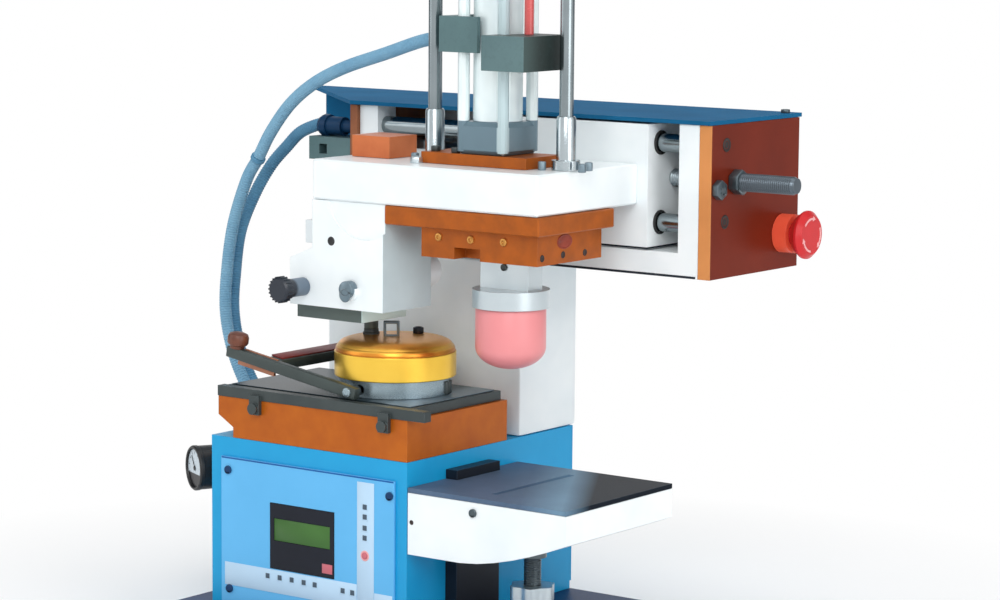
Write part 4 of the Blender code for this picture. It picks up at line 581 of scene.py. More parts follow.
def slab(low, high, rounding=0.0, segments=2):
    """A block between two corners, with edges rounded in millimetres."""
    ops.mesh.primitive_cube_add(size=1, location=(low + high) / 2, scale=high - low)
    piece = bpy.context.active_object
    ops.object.transform_apply()
    if rounding:
        bevel(piece, rounding, segments)
    return piece


def drum(base, axis, radius, length, sides, rounding):
    """A round or many-sided bar in millimetres that stands on a point, with its top at its own +Z."""
    ops.mesh.primitive_cylinder_add(vertices=sides, radius=radius * MM, depth=length * MM,
                                    location=(0, 0, length * MM / 2))
    piece = bpy.context.active_object
    ops.object.transform_apply()
    piece.matrix_world = Matrix.Translation(base) @ facing(axis)
    bevel(piece, rounding)
    return piece


def sink_top(piece, inset, depth):
    """Sink a hollow into the top face of a drum, in millimetres."""
    top = max(vertex.co.z for vertex in piece.data.vertices)
    pick_faces(piece, lambda face: face.normal.z > 0.9 and face.center.z > top * 0.98)
    ops.mesh.inset(thickness=inset * MM, depth=0)
    ops.mesh.extrude_region_move(TRANSFORM_OT_translate={"value": (0, 0, -depth * MM)})
    ops.object.mode_set(mode="OBJECT")


def cap_screw(name, base, axis, radius, height, body="frame", finish="bolt_steel", copies=()):
    """A socket head screw: a chamfered round head with a sunk hollow."""
    piece = drum(base, axis, radius, height, 28, min(radius, height) * 0.16)
    sink_top(piece, radius * 0.3, height * 0.5)
    settle(piece, name, finish, body, copies=copies)


def hex_nut(name, base, axis, across, height, bore, body="frame", finish="bolt_steel", copies=()):
    """A hexagon nut with chamfered corners and a sunk bore."""
    piece = drum(base, axis, across / 2 / math.cos(math.pi / 6), height, 6, across * 0.05)
    sink_top(piece, across / 2 - bore, height * 0.3)
    settle(piece, name, finish, body, copies=copies)


def spun(profile, base, axis, steps=48, squash=1.0):
    """A turned form: one point is drawn out along (radius, height) in mm and spun about the axis."""
    ops.mesh.primitive_plane_add(size=MM, location=(0, 0, 0))
    piece = bpy.context.active_object
    ops.object.mode_set(mode="EDIT")
    ops.mesh.select_mode(type="VERT")
    ops.mesh.select_all(action="SELECT")
    ops.mesh.merge(type="CENTER")
    radius, height = profile[0]
    ops.transform.translate(value=(radius * MM, 0, height * MM))
    for next_radius, next_height in profile[1:]:
        step = ((next_radius - radius) * MM, 0, (next_height - height) * MM)
        ops.mesh.extrude_region_move(TRANSFORM_OT_translate={"value": step})
        radius, height = next_radius, next_height
    ops.mesh.select_all(action="SELECT")
    ops.mesh.spin(steps=steps, angle=math.tau, use_auto_merge=True, center=(0, 0, 0), axis=(0, 0, 1))
    ops.mesh.select_all(action="SELECT")
    ops.mesh.remove_doubles(threshold=0.000005)
    close_up()
    piece.matrix_world = Matrix.Translation(base) @ facing(axis) @ Matrix.Diagonal((1, squash, 1, 1))
    return piece


def turned(name, profile, base, axis, finish, body="frame", slot="dark_steel", steps=48, copies=()):
    return settle(spun(profile, base, axis, steps), name, finish, body, slot, copies=copies)


def thread_points(radius, start, end):
    """Zigzag points for a threaded bar."""
    points = []
    height = start
    while height + THREAD_PITCH <= end:
        points += [(radius - THREAD_DEPTH, height), (radius, height + THREAD_PITCH * 0.4),
                   (radius, height + THREAD_PITCH * 0.6)]
        height += THREAD_PITCH
    return points + [(radius - THREAD_DEPTH, height)]


# Hoses. The tube's own sizes are in metres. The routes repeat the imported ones, in millimetres.

HOSE_DIAMETER = 0.0115
RIB_PITCH = 0.0024
RIB_SHAPE = (0.0, 0.00012, 0.0006, 0.00012)
HOSE_SIDES = 20
HOSE_GAP = 0.3
OUTLET_Y, OUTLET_STEP = at(0, 144, 0).y, 16
VALVE_HOSE_Y, VALVE_HOSE_Z = -0.015, 0.5195
TIE_POINT = 6
TIE_PROFILE = [(4.5, -2), (6.5, -2), (6.9, -1.6), (6.9, 1.6), (6.5, 2), (4.5, 2), (4.5, -2)]
CARRIAGE_ROUTE = [
    (-57, 93, 349), (-102, 97, 336), (-155, 106, 321.5), (-198, 116, 305.5), (-235, 126, 284.5),
    (-266, 135, 257), (-286, 140, 231.5), (-302, 142, 210), (-320, 144, 168), (-328, 144, 125),
    (-330, 144, 85), (-321, 144, 48), (-304, 144, 16), (-283, 144, -13)]
HOUSING_ROUTE = [
    (-268, 179, 254), (-283, 177, 240), (-298, 172, 222), (-311, 164, 195), (-325, 160, 160),
    (-332, 160, 120), (-334, 160, 83), (-325, 160, 45), (-307, 160, 13), (-285, 160, -14)]


def smooth_path(points, samples=24):
    """Points spaced along a smooth curve through a route's own points."""
    spots = [2 * points[0] - points[1]] + points + [2 * points[-1] - points[-2]]
    path = []
    for index in range(1, len(spots) - 2):
        a, b, c, d = spots[index - 1:index + 3]
        for step in range(samples):
            t = step / samples
            path.append(0.5 * ((2 * b) + (c - a) * t + (2 * a - 5 * b + 4 * c - d) * t ** 2
                               + (3 * b - a - 3 * c + d) * t ** 3))
    path.append(spots[-2])
    return path


def path_length(path):
    return sum((b - a).length for a, b in zip(path, path[1:]))


def even_points(path, count):
    """Resample a path to evenly spaced points."""
    lengths = [0.0]
    for a, b in zip(path, path[1:]):
        lengths.append(lengths[-1] + (b - a).length)
    spots = []
    index = 0
    for step in range(count + 1):
        target = lengths[-1] * step / count
        while index < len(path) - 2 and lengths[index + 1] < target:
            index += 1
        share = (target - lengths[index]) / (lengths[index + 1] - lengths[index])
        spots.append(path[index].lerp(path[index + 1], share))
    return spots


def ribbed_tube(name, path, finish):
    """A ribbed hose as a closed mesh tube along a path."""
    last = len(path) - 1
    tangents = [(path[min(i + 1, last)] - path[max(i - 1, 0)]).normalized() for i in range(last + 1)]
    side = tangents[0].orthogonal().normalized()
    points = []
    for index, (spot, tangent) in enumerate(zip(path, tangents)):
        side = (side - tangent * side.dot(tangent)).normalized()
        across = tangent.cross(side)
        radius = HOSE_DIAMETER / 2 - RIB_SHAPE[index % len(RIB_SHAPE)]
        for step in range(HOSE_SIDES):
            turn = math.tau * step / HOSE_SIDES
            points.append(spot + (side * math.cos(turn) + across * math.sin(turn)) * radius)
    faces = []
    for start in range(0, last * HOSE_SIDES, HOSE_SIDES):
        ring = [start + step for step in range(HOSE_SIDES)]
        for here, there in zip(ring, ring[1:] + ring[:1]):
            faces.append((here, there, there + HOSE_SIDES, here + HOSE_SIDES))
    faces.append(tuple(range(HOSE_SIDES))[::-1])
    faces.append(tuple(last * HOSE_SIDES + step for step in range(HOSE_SIDES)))
    mesh = bpy.data.meshes.new(name)
    mesh.from_pydata(points, [], faces)
    mesh.materials.append(looks[finish])
    hose = bpy.data.objects.new(name, mesh)
    bpy.context.scene.collection.objects.link(hose)
    only(hose)
    ops.object.shade_smooth_by_angle(angle=math.radians(60))
    return hose


def hose_path(start, route, end):
    """A route with a straight diameter out of the gland at each end."""
    shares = (0, 0.5, 1)
    points = [start - X * HOSE_DIAMETER * share for share in shares]
    points += [at(*point) for point in route]
    points += [end - X * HOSE_DIAMETER * share for share in reversed(shares)]
    path = smooth_path(points)
    ribs = round(path_length(path) / RIB_PITCH)
    return even_points(path, ribs * len(RIB_SHAPE))


def declare_hose(node):
    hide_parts(node)


def left_side(name, out):
    """The middle of a node's left side, moved to the left by millimetres."""
    return put(node_middle(name), x=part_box(name)[0].x - out * MM)


def make_hoses():
    outlet = left_side("hose_outlet", HOSE_GAP)
    lower = put(outlet, y=OUTLET_Y)
    upper = put(left_side("valve_left", HOSE_GAP), y=VALVE_HOSE_Y, z=VALVE_HOSE_Z)
    path = hose_path(upper, CARRIAGE_ROUTE, lower)
    hose = ribbed_tube("carriage_hose", path, "hose_plastic")
    declare_hose("hose_carriage")
    goal = at(*CARRIAGE_ROUTE[TIE_POINT])
    tie_spot = min(path, key=lambda spot: (spot - goal).length)
    tie_at = path.index(tie_spot)
    tie = spun(TIE_PROFILE, tie_spot, path[tie_at + 2] - path[tie_at - 2], 32)
    dress(tie, "hose_tie", "hose_shaded")
    for piece in (hose, tie):
        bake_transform(piece)

    start = left_side("housing_gland", HOSE_GAP)
    end = lower + span(0, OUTLET_STEP, 0)
    path = hose_path(start, HOUSING_ROUTE, end)
    hose = ribbed_tube("housing_hose", path, "hose_shaded")
    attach(hose, "frame")
    declare_hose("hose_housing")


def make_hose_nuts():
    """Nuts that hold the hose ends at the valve, the housing gland and the cabinet outlet."""
    valve = put(left_side("valve_left", -6), y=VALVE_HOSE_Y, z=VALVE_HOSE_Z)
    gland = left_side("housing_gland", -4)
    for name, base, body, radius in (("valve_hose_nut", valve, "carriage", 9.0),
                                     ("housing_hose_nut", gland, "frame", 10.5)):
        profile = [(5.8, 0), (radius - 0.5, 0), (radius, 0.5), (radius, 6.5), (radius - 1, 7.5),
                   (radius - 2, 10), (5.8, 10), (5.8, 0)]
        turned(name, profile, base, -X, "gland_blue", body, "dark_blue", 12)
    outlet = put(left_side("hose_outlet", -8), y=OUTLET_Y)
    hex_nut("outlet_nut", outlet, -X, 17.5, 5, 6.6, finish="dark_oxide", copies=[(0, OUTLET_STEP, 0)])


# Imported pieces

JOIN_DISTANCE = 0.00002


def dress_nodes():
    """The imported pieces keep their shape. They are joined up, shaded smooth, and given their finish."""
    for finish, (_, _, names, _) in FINISHES.items():
        for name in names.split():
            thing = nodes[name]
            thing.data.materials.clear()
            thing.data.materials.append(looks[finish])
            thing.data.polygons.foreach_set("use_smooth", [True] * len(thing.data.polygons))
            thing.modifiers.new("join", "WELD").merge_threshold = JOIN_DISTANCE
            thing.modifiers.new("crease", "EDGE_SPLIT").split_angle = SMOOTH_ANGLE


# Control panel

PANEL_FACE = -2.32
STRIPS = {
    "column_strip": (-52.0, -33.5, -132.0, -21.5, 0.16, "pale_film"),
    "row_strip_left": (-202.0, -52.3, -131.5, -111.0, 0.16, "pale_film"),
    "row_strip_right": (-33.2, -13.5, -136.5, -116.0, 0.16, "pale_film"),
    # Painted shadow: a thin dark strip along the panel's top edge, where its edge casts shade.
    "top_line": (-205.5, -12.5, -18.6, -17.3, 0.2, "line_blue"),
}
KEYS_X = -43.3
KEY_COLUMN = (-42.7, -51.3, -60.9, -69.5)
KEY_ROW = ((-152.1, -117.2), (-138.3, -117.2), (-124.6, -117.2), (-111.0, -117.6), (-98.6, -117.9),
           (-67.4, -118.6), (-56.8, -119.0))
ROUND_KEY_Z = -85.0
ROUND_KEY_RING = [(0, 0), (4.6, 0), (4.6, 0.3), (4.3, 0.5), (3.4, 0.5), (3.2, 0.3), (0, 0.3)]
ROUND_KEY_TOP = [(0, 0), (2.9, 0), (2.9, 0.9), (2.3, 1.3), (0, 1.4)]
SCREEN_HALF, SCREEN_TOP, SCREEN_BOTTOM = 31.3, 13.3, 32.7


def film(name, left, right, bottom, top, thickness, finish, copies=()):
    """A printed or moulded patch on the panel's face."""
    piece = slab(at(left, PANEL_FACE - thickness, bottom), at(right, PANEL_FACE, top), thickness / 3)
    settle(piece, name, finish, slot="panel_blue", copies=copies)


def make_keys():
    """The small membrane keys: a pale rim and a grey pip, modelled once and copied."""
    x, z = KEYS_X, KEY_COLUMN[0]
    spots = [(KEYS_X, other_z) for other_z in KEY_COLUMN[1:]] + list(KEY_ROW)
    copies = [(other_x - x, 0, other_z - z) for other_x, other_z in spots]
    film("key_rim", x - 3.6, x + 3.6, z - 3.5, z + 3.5, 0.35, "pale_film", copies)
    pip = slab(at(x - 2.2, PANEL_FACE - 0.8, z - 2.2), at(x + 2.2, PANEL_FACE - 0.3, z + 2.2), 0.25)
    settle(pip, "key_pip", "key_grey", slot="panel_blue", copies=copies)


def make_panel():
    for name, sizes in STRIPS.items():
        film(name, *sizes)
    make_keys()
    spot = at(KEYS_X, PANEL_FACE, ROUND_KEY_Z)
    turned("round_key_ring", ROUND_KEY_RING, spot, -Y, "mark_pink", slot="panel_blue", steps=32)
    turned("round_key", ROUND_KEY_TOP, spot + span(0, -0.1, 0), -Y, "key_red", slot="red_plastic", steps=28)
    low, high, middle = box_sides("display_window")
    corner = Vector((middle.x, low.y, high.z))
    screen = slab(corner + span(-SCREEN_HALF, 0.3, -SCREEN_BOTTOM),
                  corner + span(SCREEN_HALF, 0.55, -SCREEN_TOP), 0.05)
    settle(screen, "lcd_screen", "lcd_green", slot="window_black")
    square = slab(at(-90.3, -3.1, -106.3), at(-79.0, -2.72, -98.0), 0.15)
    settle(square, "start_key", "key_red", slot="red_plastic")
    cap_screw("panel_screw", at(-197.5, PANEL_FACE, -28.6), -Y, 3.7, 1.8, finish="base_enamel",
              copies=[(181, 0, -1.5), (1.2, 0, -106), (181, 0, -106)])


# Pressure gauge, turned towards the operator's left

GAUGE_FACING = Vector((-0.46, -0.887, 0)).normalized()
GAUGE_CASE = [(0, -23.5), (17.5, -23.5), (19.5, -22), (19.7, -4), (20.2, -3.4), (20.2, -0.4), (19.2, 0.8),
              (17.6, 0.8), (17.0, -1.6), (0, -1.6)]
GAUGE_DIAL = [(0, -1.6), (16.9, -1.6), (16.9, -1.1), (0, -1.1)]
GAUGE_HUB = [(0, -1.2), (2.0, -1.2), (2.0, -0.3), (0, 0)]
GAUGE_INSET, GAUGE_RISE, FACE_REACH = 20, 2.6, 12
NEEDLE_TURN = 35
TICKS, FIRST_TICK, TICK_STEP = 9, -110, 27.5


def on_dial(piece, face, degrees, name, finish, smooth):
    """Turn a thin bar about the dial's middle."""
    piece.matrix_world = (Matrix.Translation(face) @ facing(GAUGE_FACING)
                          @ Matrix.Rotation(math.radians(degrees), 4, "Z"))
    settle(piece, name, finish, slot="black_plastic", smooth=smooth)


def make_gauge():
    middle = left_side("pressure_gauge", -GAUGE_INSET) + span(0, 0, GAUGE_RISE)
    face = middle + GAUGE_FACING * FACE_REACH * MM
    case = turned("gauge_case", GAUGE_CASE, face, GAUGE_FACING, "matt_black", slot="black_plastic", steps=64)
    stem = drum(middle + span(10, 0, 0), X, 5.2, 15, 24, 0.6)
    settle(stem, "gauge_stem", "bolt_steel")
    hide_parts("pressure_gauge")
    turned("gauge_dial", GAUGE_DIAL, face, GAUGE_FACING, "dial_white", slot="black_plastic")
    turned("gauge_hub", GAUGE_HUB, face, GAUGE_FACING, "matt_black", slot="black_plastic", steps=24)
    needle = slab(span(-0.45, -3, -0.9), span(0.45, 12.5, -0.5), 0.15)
    on_dial(needle, face, NEEDLE_TURN, "gauge_needle", "matt_black", True)
    for index in range(TICKS):
        tick = slab(span(-0.3, 12.6, -1.2), span(0.3, 15.4, -0.95), 0.05, 1)
        on_dial(tick, face, FIRST_TICK + TICK_STEP * index, "gauge_tick_%d" % index, "dial_mark", False)


# Housing: end plate fittings, lid screws, stop screw, emergency stop

END_SCREW_RIM = [(0, 0.1), (2.9, 0.1), (3.2, -0.1), (5.0, 0.55), (5.7, 0.5), (6.0, 0.1), (6.0, -0.4),
                 (0, -0.4)]
STOP_RADIUS, STOP_CORE, STOP_NUT, STOP_BORE = 7.8, 6.6, 19, 7.9
ARROWS, FIRST_ARROW, ARROW_SWEEP = 3, 0.4, 1.45
ARROW_SIZES = Vector((14.2, 1.8, 0.5)) * MM


def make_end_fittings():
    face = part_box("end_plate")[1].x
    # The end plate's countersunk screws are shallow raised rings; their near black is painted shade of the
    # sunk holes.
    turned("end_screw", END_SCREW_RIM, at(0, 188.7, 266.8, x=face), X, "dark_hole", steps=36,
           copies=[(0, -1.1, -65.0)])
    hex_nut("end_bolt", at(0, 174.3, 229.9, x=face), X, 15, 6.0, 3.4)

    low, high, middle = box_sides("stop_screw")
    length = (high.x - low.x) / MM
    thread = thread_points(STOP_RADIUS, 1.0, length - 1.0)
    profile = [(0, 0), (STOP_CORE, 0)] + thread + [(STOP_CORE, length), (0, length)]
    rod = turned("stop_thread", profile, put(middle, x=low.x), X, "thread_steel", steps=28)
    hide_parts("stop_screw")
    hex_nut("stop_nut_outer", put(middle, x=face + 0.2 * MM), X, STOP_NUT, 9, STOP_BORE)
    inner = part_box("guide_rod_upper")[1].x
    hex_nut("stop_nut_inner", put(middle, x=inner), -X, STOP_NUT, 7, STOP_BORE)


def make_housing_fittings():
    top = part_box("housing_cover")[1].z
    cap_screw("lid_screw", at(184.6, 294.5, 0, z=top - 0.1 * MM), Z, 4.0, 3.4, copies=[(-530, 1, 0)])
    low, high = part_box("upper_housing")
    left, right = put(low, x=at(-188, 0, 0).x), put(low, x=high.x)
    # Painted shadow: a thin dark strip along the housing's lower front edge stands for the shadow line under
    # it.
    shadow_strip = slab(left + span(0, -0.4, 0.1), right + span(-2, 0.4, 2.1), 0.2)
    settle(shadow_strip, "housing_seam", "rail_steel")


def make_estop():
    """Curved arrows on the head show which way it turns to let go."""
    _, high, middle = box_sides("estop_button")
    place = Matrix.Translation(put(middle, x=high.x - 0.15 * MM)) @ facing(X)
    for index in range(ARROWS):
        arrow = arc_arrow(math.tau / ARROWS * index + FIRST_ARROW)
        arrow.matrix_world = place
        settle(arrow, "estop_arrow_%d" % index, "mark_pink", "estop", "red_plastic", smooth=False)


def arc_arrow(start):
    """A curved arrow: an upright strip is spun through an arc, and a three-sided head joins it."""
    radius, width, thickness = ARROW_SIZES
    ops.mesh.primitive_plane_add(size=1, location=(0, 0, 0))
    shaft = bpy.context.active_object
    shaft.scale = (width, thickness, 1)
    shaft.rotation_euler = (math.pi / 2, 0, 0)
    shaft.location = (radius, 0, thickness / 2)
    ops.object.transform_apply()
    ops.object.mode_set(mode="EDIT")
    ops.mesh.select_all(action="SELECT")
    ops.mesh.spin(steps=12, angle=ARROW_SWEEP * 0.72, center=(0, 0, 0), axis=(0, 0, 1))
    close_up()
    turn = -ARROW_SWEEP * 0.78
    tip = (radius * math.cos(turn), radius * math.sin(turn), thickness / 2)
    ops.mesh.primitive_cylinder_add(vertices=3, radius=width * 1.5, depth=thickness, location=tip,
                                    rotation=(0, 0, turn + math.pi))
    head = bpy.context.active_object
    bevel(head, 0.08, 1)
    shaft.select_set(True)
    bpy.context.view_layer.objects.active = shaft
    ops.object.join()
    shaft.rotation_euler = (0, 0, start)
    ops.object.transform_apply()
    return shaft


# Carriage fittings

BUSH_SCREW_STEPS = [(101.5, -5.5, 0), (135, -14, 0), (139.5, -30, 0), (-30.7, -34.8, 0), (101.5, -33.5, 0)]
ROD_SEAL = [(8.2, 0), (10.4, 0), (10.4, 1.2), (9.8, 1.8), (8.8, 1.8), (8.2, 1.2), (8.2, 0)]
NIPPLE = [(0, 0), (3.0, 0), (3.0, 1.2), (1.7, 1.8), (1.7, 3.2), (2.1, 3.8), (1.2, 4.8), (0, 4.8)]
BRACKET_HOLE = [(0, 0.15), (2.6, 0.15), (3.4, 0.5), (3.9, 0.0), (3.9, -0.6), (0, -0.6)]
KNOB_RIBS = 20


def make_carriage_fittings():
    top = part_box("carriage_plate")[1].z
    cap_screw("bush_screw", at(-7, 92, 0, z=top), Z, 3.4, 7, "carriage", "pale_steel", BUSH_SCREW_STEPS)
    hex_nut("deck_nut", at(-26, 44, 0, z=top), Z, 9.5, 5, 2.6, "carriage", "turned_alloy")
    foot = at(-16.0, 58, 0, z=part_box("cylinder_plate")[1].z)
    cap_screw("foot_bolt", foot, Z, 4.0, 4.5, "carriage", "dark_oxide", [(24.5, -4.0, 0)])
    low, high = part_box("bearing_block")
    rod = node_middle("guide_rod_upper")
    drop = (node_middle("guide_rod_lower").z - rod.z) / MM
    turned("rod_seal", ROD_SEAL, put(rod, x=high.x), X, "black_rubber", "carriage", "black_rubber", 40,
           [(0, 0, drop)])
    # Painted shadow: thin dark strips along the bearing block's lower front and side edges stand for the
    # shadow gap under it.
    front = slab(low + span(-0.4, -0.4, 0.2), put(low, x=high.x) + span(0.4, 0.8, 1.8), 0.2)
    settle(front, "block_wiper", "rail_steel", "carriage", "black_rubber")
    side = slab(put(low, x=high.x) + span(-0.8, -0.4, 0.2), put(high, z=low.z) + span(0.4, 0.2, 1.8), 0.2)
    settle(side, "block_wiper_side", "rail_steel", "carriage", "black_rubber")
    turned("grease_nipple", NIPPLE, at(96, 163, 234), -Y, "bolt_steel", "carriage", "bright_steel", 24)


def make_bracket_fittings():
    # The bracket's hole is a shallow raised ring in matt black: painted shade of the hole.
    turned("bracket_hole", BRACKET_HOLE, at(-97, 17, 179), -Y, "matt_black", "carriage", "black_plastic", 28)
    cap_screw("bracket_screw", at(-74.4, 17, 139.6), -Y, 7.4, 9.0, "carriage", "pale_steel")
    low, _, middle = box_sides("bracket_knob")
    for index in range(KNOB_RIBS):
        rib = slab(span(-0.7, 0, 10.7), span(0.7, 8.0, 11.5), 0.3, 1)
        rib.location = put(middle, y=low.y + 1 * MM)
        rib.rotation_euler = (0, math.tau * index / KNOB_RIBS, 0)
        settle(rib, "knob_rib_%d" % index, "knob_navy", "knob", "black_plastic")


# Pad lift fittings

BLOCK_SCREW = [(0, 0.5), (1.4, 0.5), (1.6, 1.5), (3.2, 1.3), (3.5, 0.6), (3.5, -0.4), (0, -0.4)]
SIDE_HOLE = [(0, 0.1), (1.9, 0.1), (2.6, 0.4), (3.0, 0.1), (3.0, -0.4), (0, -0.4)]
SIDE_RECESS = [(0, 0.12), (8.6, 0.12), (9.4, 0.6), (10.4, 0.5), (10.8, 0.1), (10.8, -0.3), (0, -0.3)]
RECESS_SQUASH = 0.58
PAD_SHOULDER, PAD_STEPS = 19.0, 24


def make_lift_fittings():
    low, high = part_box("adjusting_block")
    lift = ("pad_lift", "orange_anodised")
    turned("block_screw", BLOCK_SCREW, at(12.4, 0, 189.8, y=low.y), -Y, "brass", *lift, 28,
           [(33.6, 0, 0), (67.6, 0, 0.4)])
    cap_screw("holder_screw", at(54, 62, 164), -Y, 3.0, 1.4, "pad_lift", "dark_oxide")
    # The side holes are shallow raised rings; their near black is painted shade.
    turned("side_hole", SIDE_HOLE, at(0, 33, 178.6, x=high.x), X, "dark_hole", *lift, 28,
           [(0, 29.5, 0.6), (0, 61, -0.2)])
    # The side recess is a shallow raised shape whose darker red is painted shade.
    recess = spun(SIDE_RECESS, at(0, 64.5, 190.2, x=high.x), X, squash=RECESS_SQUASH)
    settle(recess, "side_recess", "recess_red", *lift)


def make_pad():
    low, high, middle = box_sides("pad")
    radius, height = (high.x - low.x) / 2 / MM, (high.z - low.z) / MM
    turns = [math.pi / 2 * step / PAD_STEPS for step in range(PAD_STEPS + 1)]
    profile = [(radius * math.sin(turn), PAD_SHOULDER * (1 - math.cos(turn))) for turn in turns]
    profile += [(radius, height - 1.0), (radius - 0.6, height), (0, height)]
    pad = turned("print_pad", profile, put(middle, z=low.z), Z, "silicone", "pad_lift", "pink_silicone", 96)
    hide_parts("pad")


# Ink cup and fork fittings

CUP_PROFILE = [
    (0, 0), (52.4, 0), (53.0, 0.6), (53.0, 20.9), (52.6, 21.4), (51.5, 21.5), (51.5, 22.2), (52.2, 22.3),
    (51.8, 24.6), (50.6, 26.4), (50.4, 26.5), (50.2, 26.4), (49.2, 28.2), (47.2, 29.9), (44.4, 31.2),
    (41.5, 32.1), (38.0, 32.6), (30.0, 32.9), (0, 33.4)]
CUP_TOP = 33.2
PIN_SEAT = Vector((-0.066, -0.033, 0))
STIRRUP_LOW, STIRRUP_HIGH = span(-7.0, -2.4, -0.8), span(7.0, 2.6, 13.6)
STIRRUP_STRAP, STIRRUP_TURN = 2.4, 36.5
POST_TURN = 12


def make_cup():
    low, _, middle = box_sides("ink_cup")
    cup = turned("gold_cup", CUP_PROFILE, put(middle, z=low.z), Z, "gold_anodise", "cup", "gold_anodised", 96)
    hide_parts("ink_cup")
    top = low.z + CUP_TOP * MM
    height = max((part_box("press_plate")[0].z - top) / MM - 0.3, 2.0)
    seat = [(0, -1), (7.4, -1), (7.4, 1.2), (6.6, 1.8), (6.4, height), (0, height)]
    turned("pin_seat", seat, put(PIN_SEAT, z=top), Z, "dark_oxide", "cup", steps=32)
    cap_screw("filler_screw", at(-67.5, 101, 0, z=top - 0.6 * MM), Z, 4.7, 5.6, "cup", "rail_steel")
    make_stirrup(at(-71.7, 68.6, 0, z=top))


def make_stirrup(foot):
    """A small bent strap on the cup's top, across the line of the front edge."""
    strap = slab(STIRRUP_LOW, STIRRUP_HIGH)
    pick_faces(strap, lambda face: abs(face.normal.y) > 0.9)
    ops.mesh.inset(thickness=STIRRUP_STRAP * MM, depth=0)
    ops.mesh.delete(type="FACE")
    ops.mesh.select_mode(type="EDGE")
    ops.mesh.select_non_manifold()
    ops.mesh.bridge_edge_loops()
    close_up()
    bevel(strap, 0.5)
    strap.matrix_world = Matrix.Translation(foot) @ Matrix.Rotation(math.radians(STIRRUP_TURN), 4, "Z")
    settle(strap, "cup_stirrup", "bolt_steel", "cup", "bare_aluminium")


def make_ring_posts():
    """Two short dark posts where the fork's far end meets the cup ring."""
    low, high, middle = box_sides("cup_ring")
    turn = math.radians(POST_TURN)
    reach = (high.x - low.x) / 2 - 0.5 * MM
    spot = put(middle, z=low.z + 0.2 * MM) + Vector((math.cos(turn), math.sin(turn), 0)) * reach
    settle(drum(spot, Z, 3.0, 11.5, 20, 0.6), "ring_post", "dark_oxide", "cup", copies=[(-3.5, 8.5, 0)])


# The fork is drawn level about its pins, in millimetres, and then tilted.

FORK_TILT = 9.5
FORK_BARS = {
    "fork_near_arm": ((-139, -66.2, -5), (8, -58.2, 5), 1.0, "fork_steel", "dark_steel"),
    "fork_far_arm": ((-98, 58.2, -5), (5, 66.2, 5), 1.0, "fork_steel", "dark_steel"),
    "fork_web": ((-98, -58.6, -4.6), (-84, 58.6, 4.6), 0.8, "fork_steel", "dark_steel"),
    "fork_strip_copper": ((-128, -61.6, -9.8), (-86, -58.4, -4.9), 0.4, "copper_strip", "orange_anodised"),
    "fork_strip_red": ((-99, -52, 4.4), (-86, 50, 5.9), 0.3, "dark_red", "orange_anodised"),
    "fork_strip_top": ((-122, -61.6, 4.8), (-84, -58.8, 5.7), 0.3, "copper_strip", "orange_anodised"),
}
FORK_KNOB = [(0, -0.5), (6.6, -0.5), (6.6, 2.2), (8.4, 3.0), (9.4, 4.6), (9.4, 9.6), (8.2, 12.2), (4.6, 13.6),
             (0, 13.9)]


def make_fork():
    """The yoke that holds the ring at two side pins."""
    pin = at(-70, 72, 0, z=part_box("cup_ring")[0].z + 6.6 * MM)
    tilt = Matrix.Translation(pin) @ Matrix.Rotation(math.radians(FORK_TILT), 4, "Y")
    for name, (low, high, rounding, finish, slot) in FORK_BARS.items():
        bar = slab(span(*low), span(*high), rounding)
        bar.matrix_world = tilt @ bar.matrix_world
        settle(bar, name, finish, "fork", slot)
    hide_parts("cup_fork")
    for index, side in enumerate((-1, 1)):
        pivot = drum(tilt @ span(0, side * 59, 0), -Y * side, 4.0, 6.8, 24, 0.4)
        settle(pivot, "fork_pin_%d" % index, "bolt_steel", "fork")
        cap_screw("fork_pivot_%d" % index, tilt @ span(0, side * 66, 0), Y * side, 4.0, 1.8, "fork",
                  "ring_alloy")
    turned("fork_knob", FORK_KNOB, tilt @ span(-130.2, -62.2, 5), tilt.to_3x3() @ Z, "brown_knob", "fork",
           steps=36)


# Table fittings

TABLE_HOLE = [(0, 0.1), (1.3, 0.1), (1.8, 0.3), (2.1, 0), (2.1, -0.5), (0, -0.5)]
LEAD_RADIUS, LEAD_CORE, LEAD_HEAD = 7.5, 6.8, 12


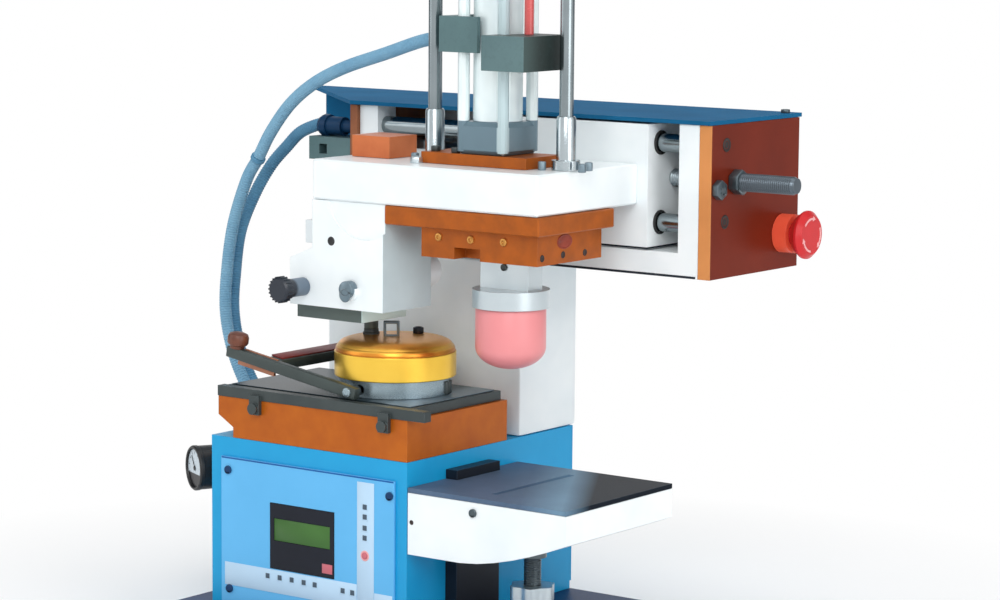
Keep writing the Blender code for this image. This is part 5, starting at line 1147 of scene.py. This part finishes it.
def make_table_fittings():
    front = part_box("work_table")[0].y
    cap_screw("table_front_screw", at(70, 0, -34, y=front), -Y, 3.6, 2.0, "table")
    # The front hole is a shallow raised ring; its near black is painted shade.
    turned("table_front_hole", TABLE_HOLE, at(5, 0, -50.3, y=front), -Y, "dark_hole", "table",
           "black_plastic", 24)
    low, high, middle = box_sides("leadscrew")
    length = (high.z - low.z) / MM
    thread = thread_points(LEAD_RADIUS, 0.6, length - 6)
    head = [(LEAD_RADIUS, length - 5), (LEAD_HEAD, length - 5), (LEAD_HEAD, length), (0, length)]
    screw = turned("table_thread", [(0, 0), (LEAD_CORE, 0)] + thread + head, put(middle, z=low.z), Z,
                   "lead_steel", "table", "bright_steel", 32)
    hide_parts("leadscrew")


# Back of the machine

COVER_INSET = 8
BACK_SCREW_X, BACK_SCREW_DROP = -0.24, 0.018
BACK_SCREW_COLUMNS, BACK_SCREW_ROWS = (0, 140, 280, 420), (0, -100)
LOUVRES, LOUVRE_PITCH = 6, 9


def make_back_fittings():
    low, high, middle = box_sides("rear_cover")
    wide = (high.x - low.x) / MM - 2 * COVER_INSET
    tall = (high.z - low.z) / MM - 2 * COVER_INSET
    corner = Vector((low.x, high.y, high.z)) + span(COVER_INSET, 0, -COVER_INSET)
    cap_screw("cover_screw", corner, Y, 3.4, 1.8, finish="base_enamel",
              copies=[(wide, 0, 0), (0, 0, -tall), (wide, 0, -tall), (0, 0, -tall / 2), (wide, 0, -tall / 2)])
    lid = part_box("housing_cover")[1]
    spots = [(x, 0, z) for x in BACK_SCREW_COLUMNS for z in BACK_SCREW_ROWS]
    cap_screw("back_screw", Vector((BACK_SCREW_X, lid.y - 0.2 * MM, lid.z - BACK_SCREW_DROP)), Y, 3.4, 2.0,
              finish="base_enamel", copies=spots[1:])
    middle = put(middle, y=high.y)
    louvre = slab(middle + span(-32, -0.4, 10), middle + span(32, 1.6, 13.4), 0.7)
    settle(louvre, "louvre", "sky_enamel", slot="cabinet_blue",
           copies=[(0, 0, -LOUVRE_PITCH * step) for step in range(1, LOUVRES)])


make_camera()
make_hoses()
make_room()
dress_nodes()
make_hose_nuts()
make_panel()
make_gauge()
make_end_fittings()
make_housing_fittings()
make_estop()
make_carriage_fittings()
make_bracket_fittings()
make_lift_fittings()
make_pad()
make_cup()
make_ring_posts()
make_fork()
make_table_fittings()
make_back_fittings()
bpy.context.scene.view_settings.view_transform = "Standard"
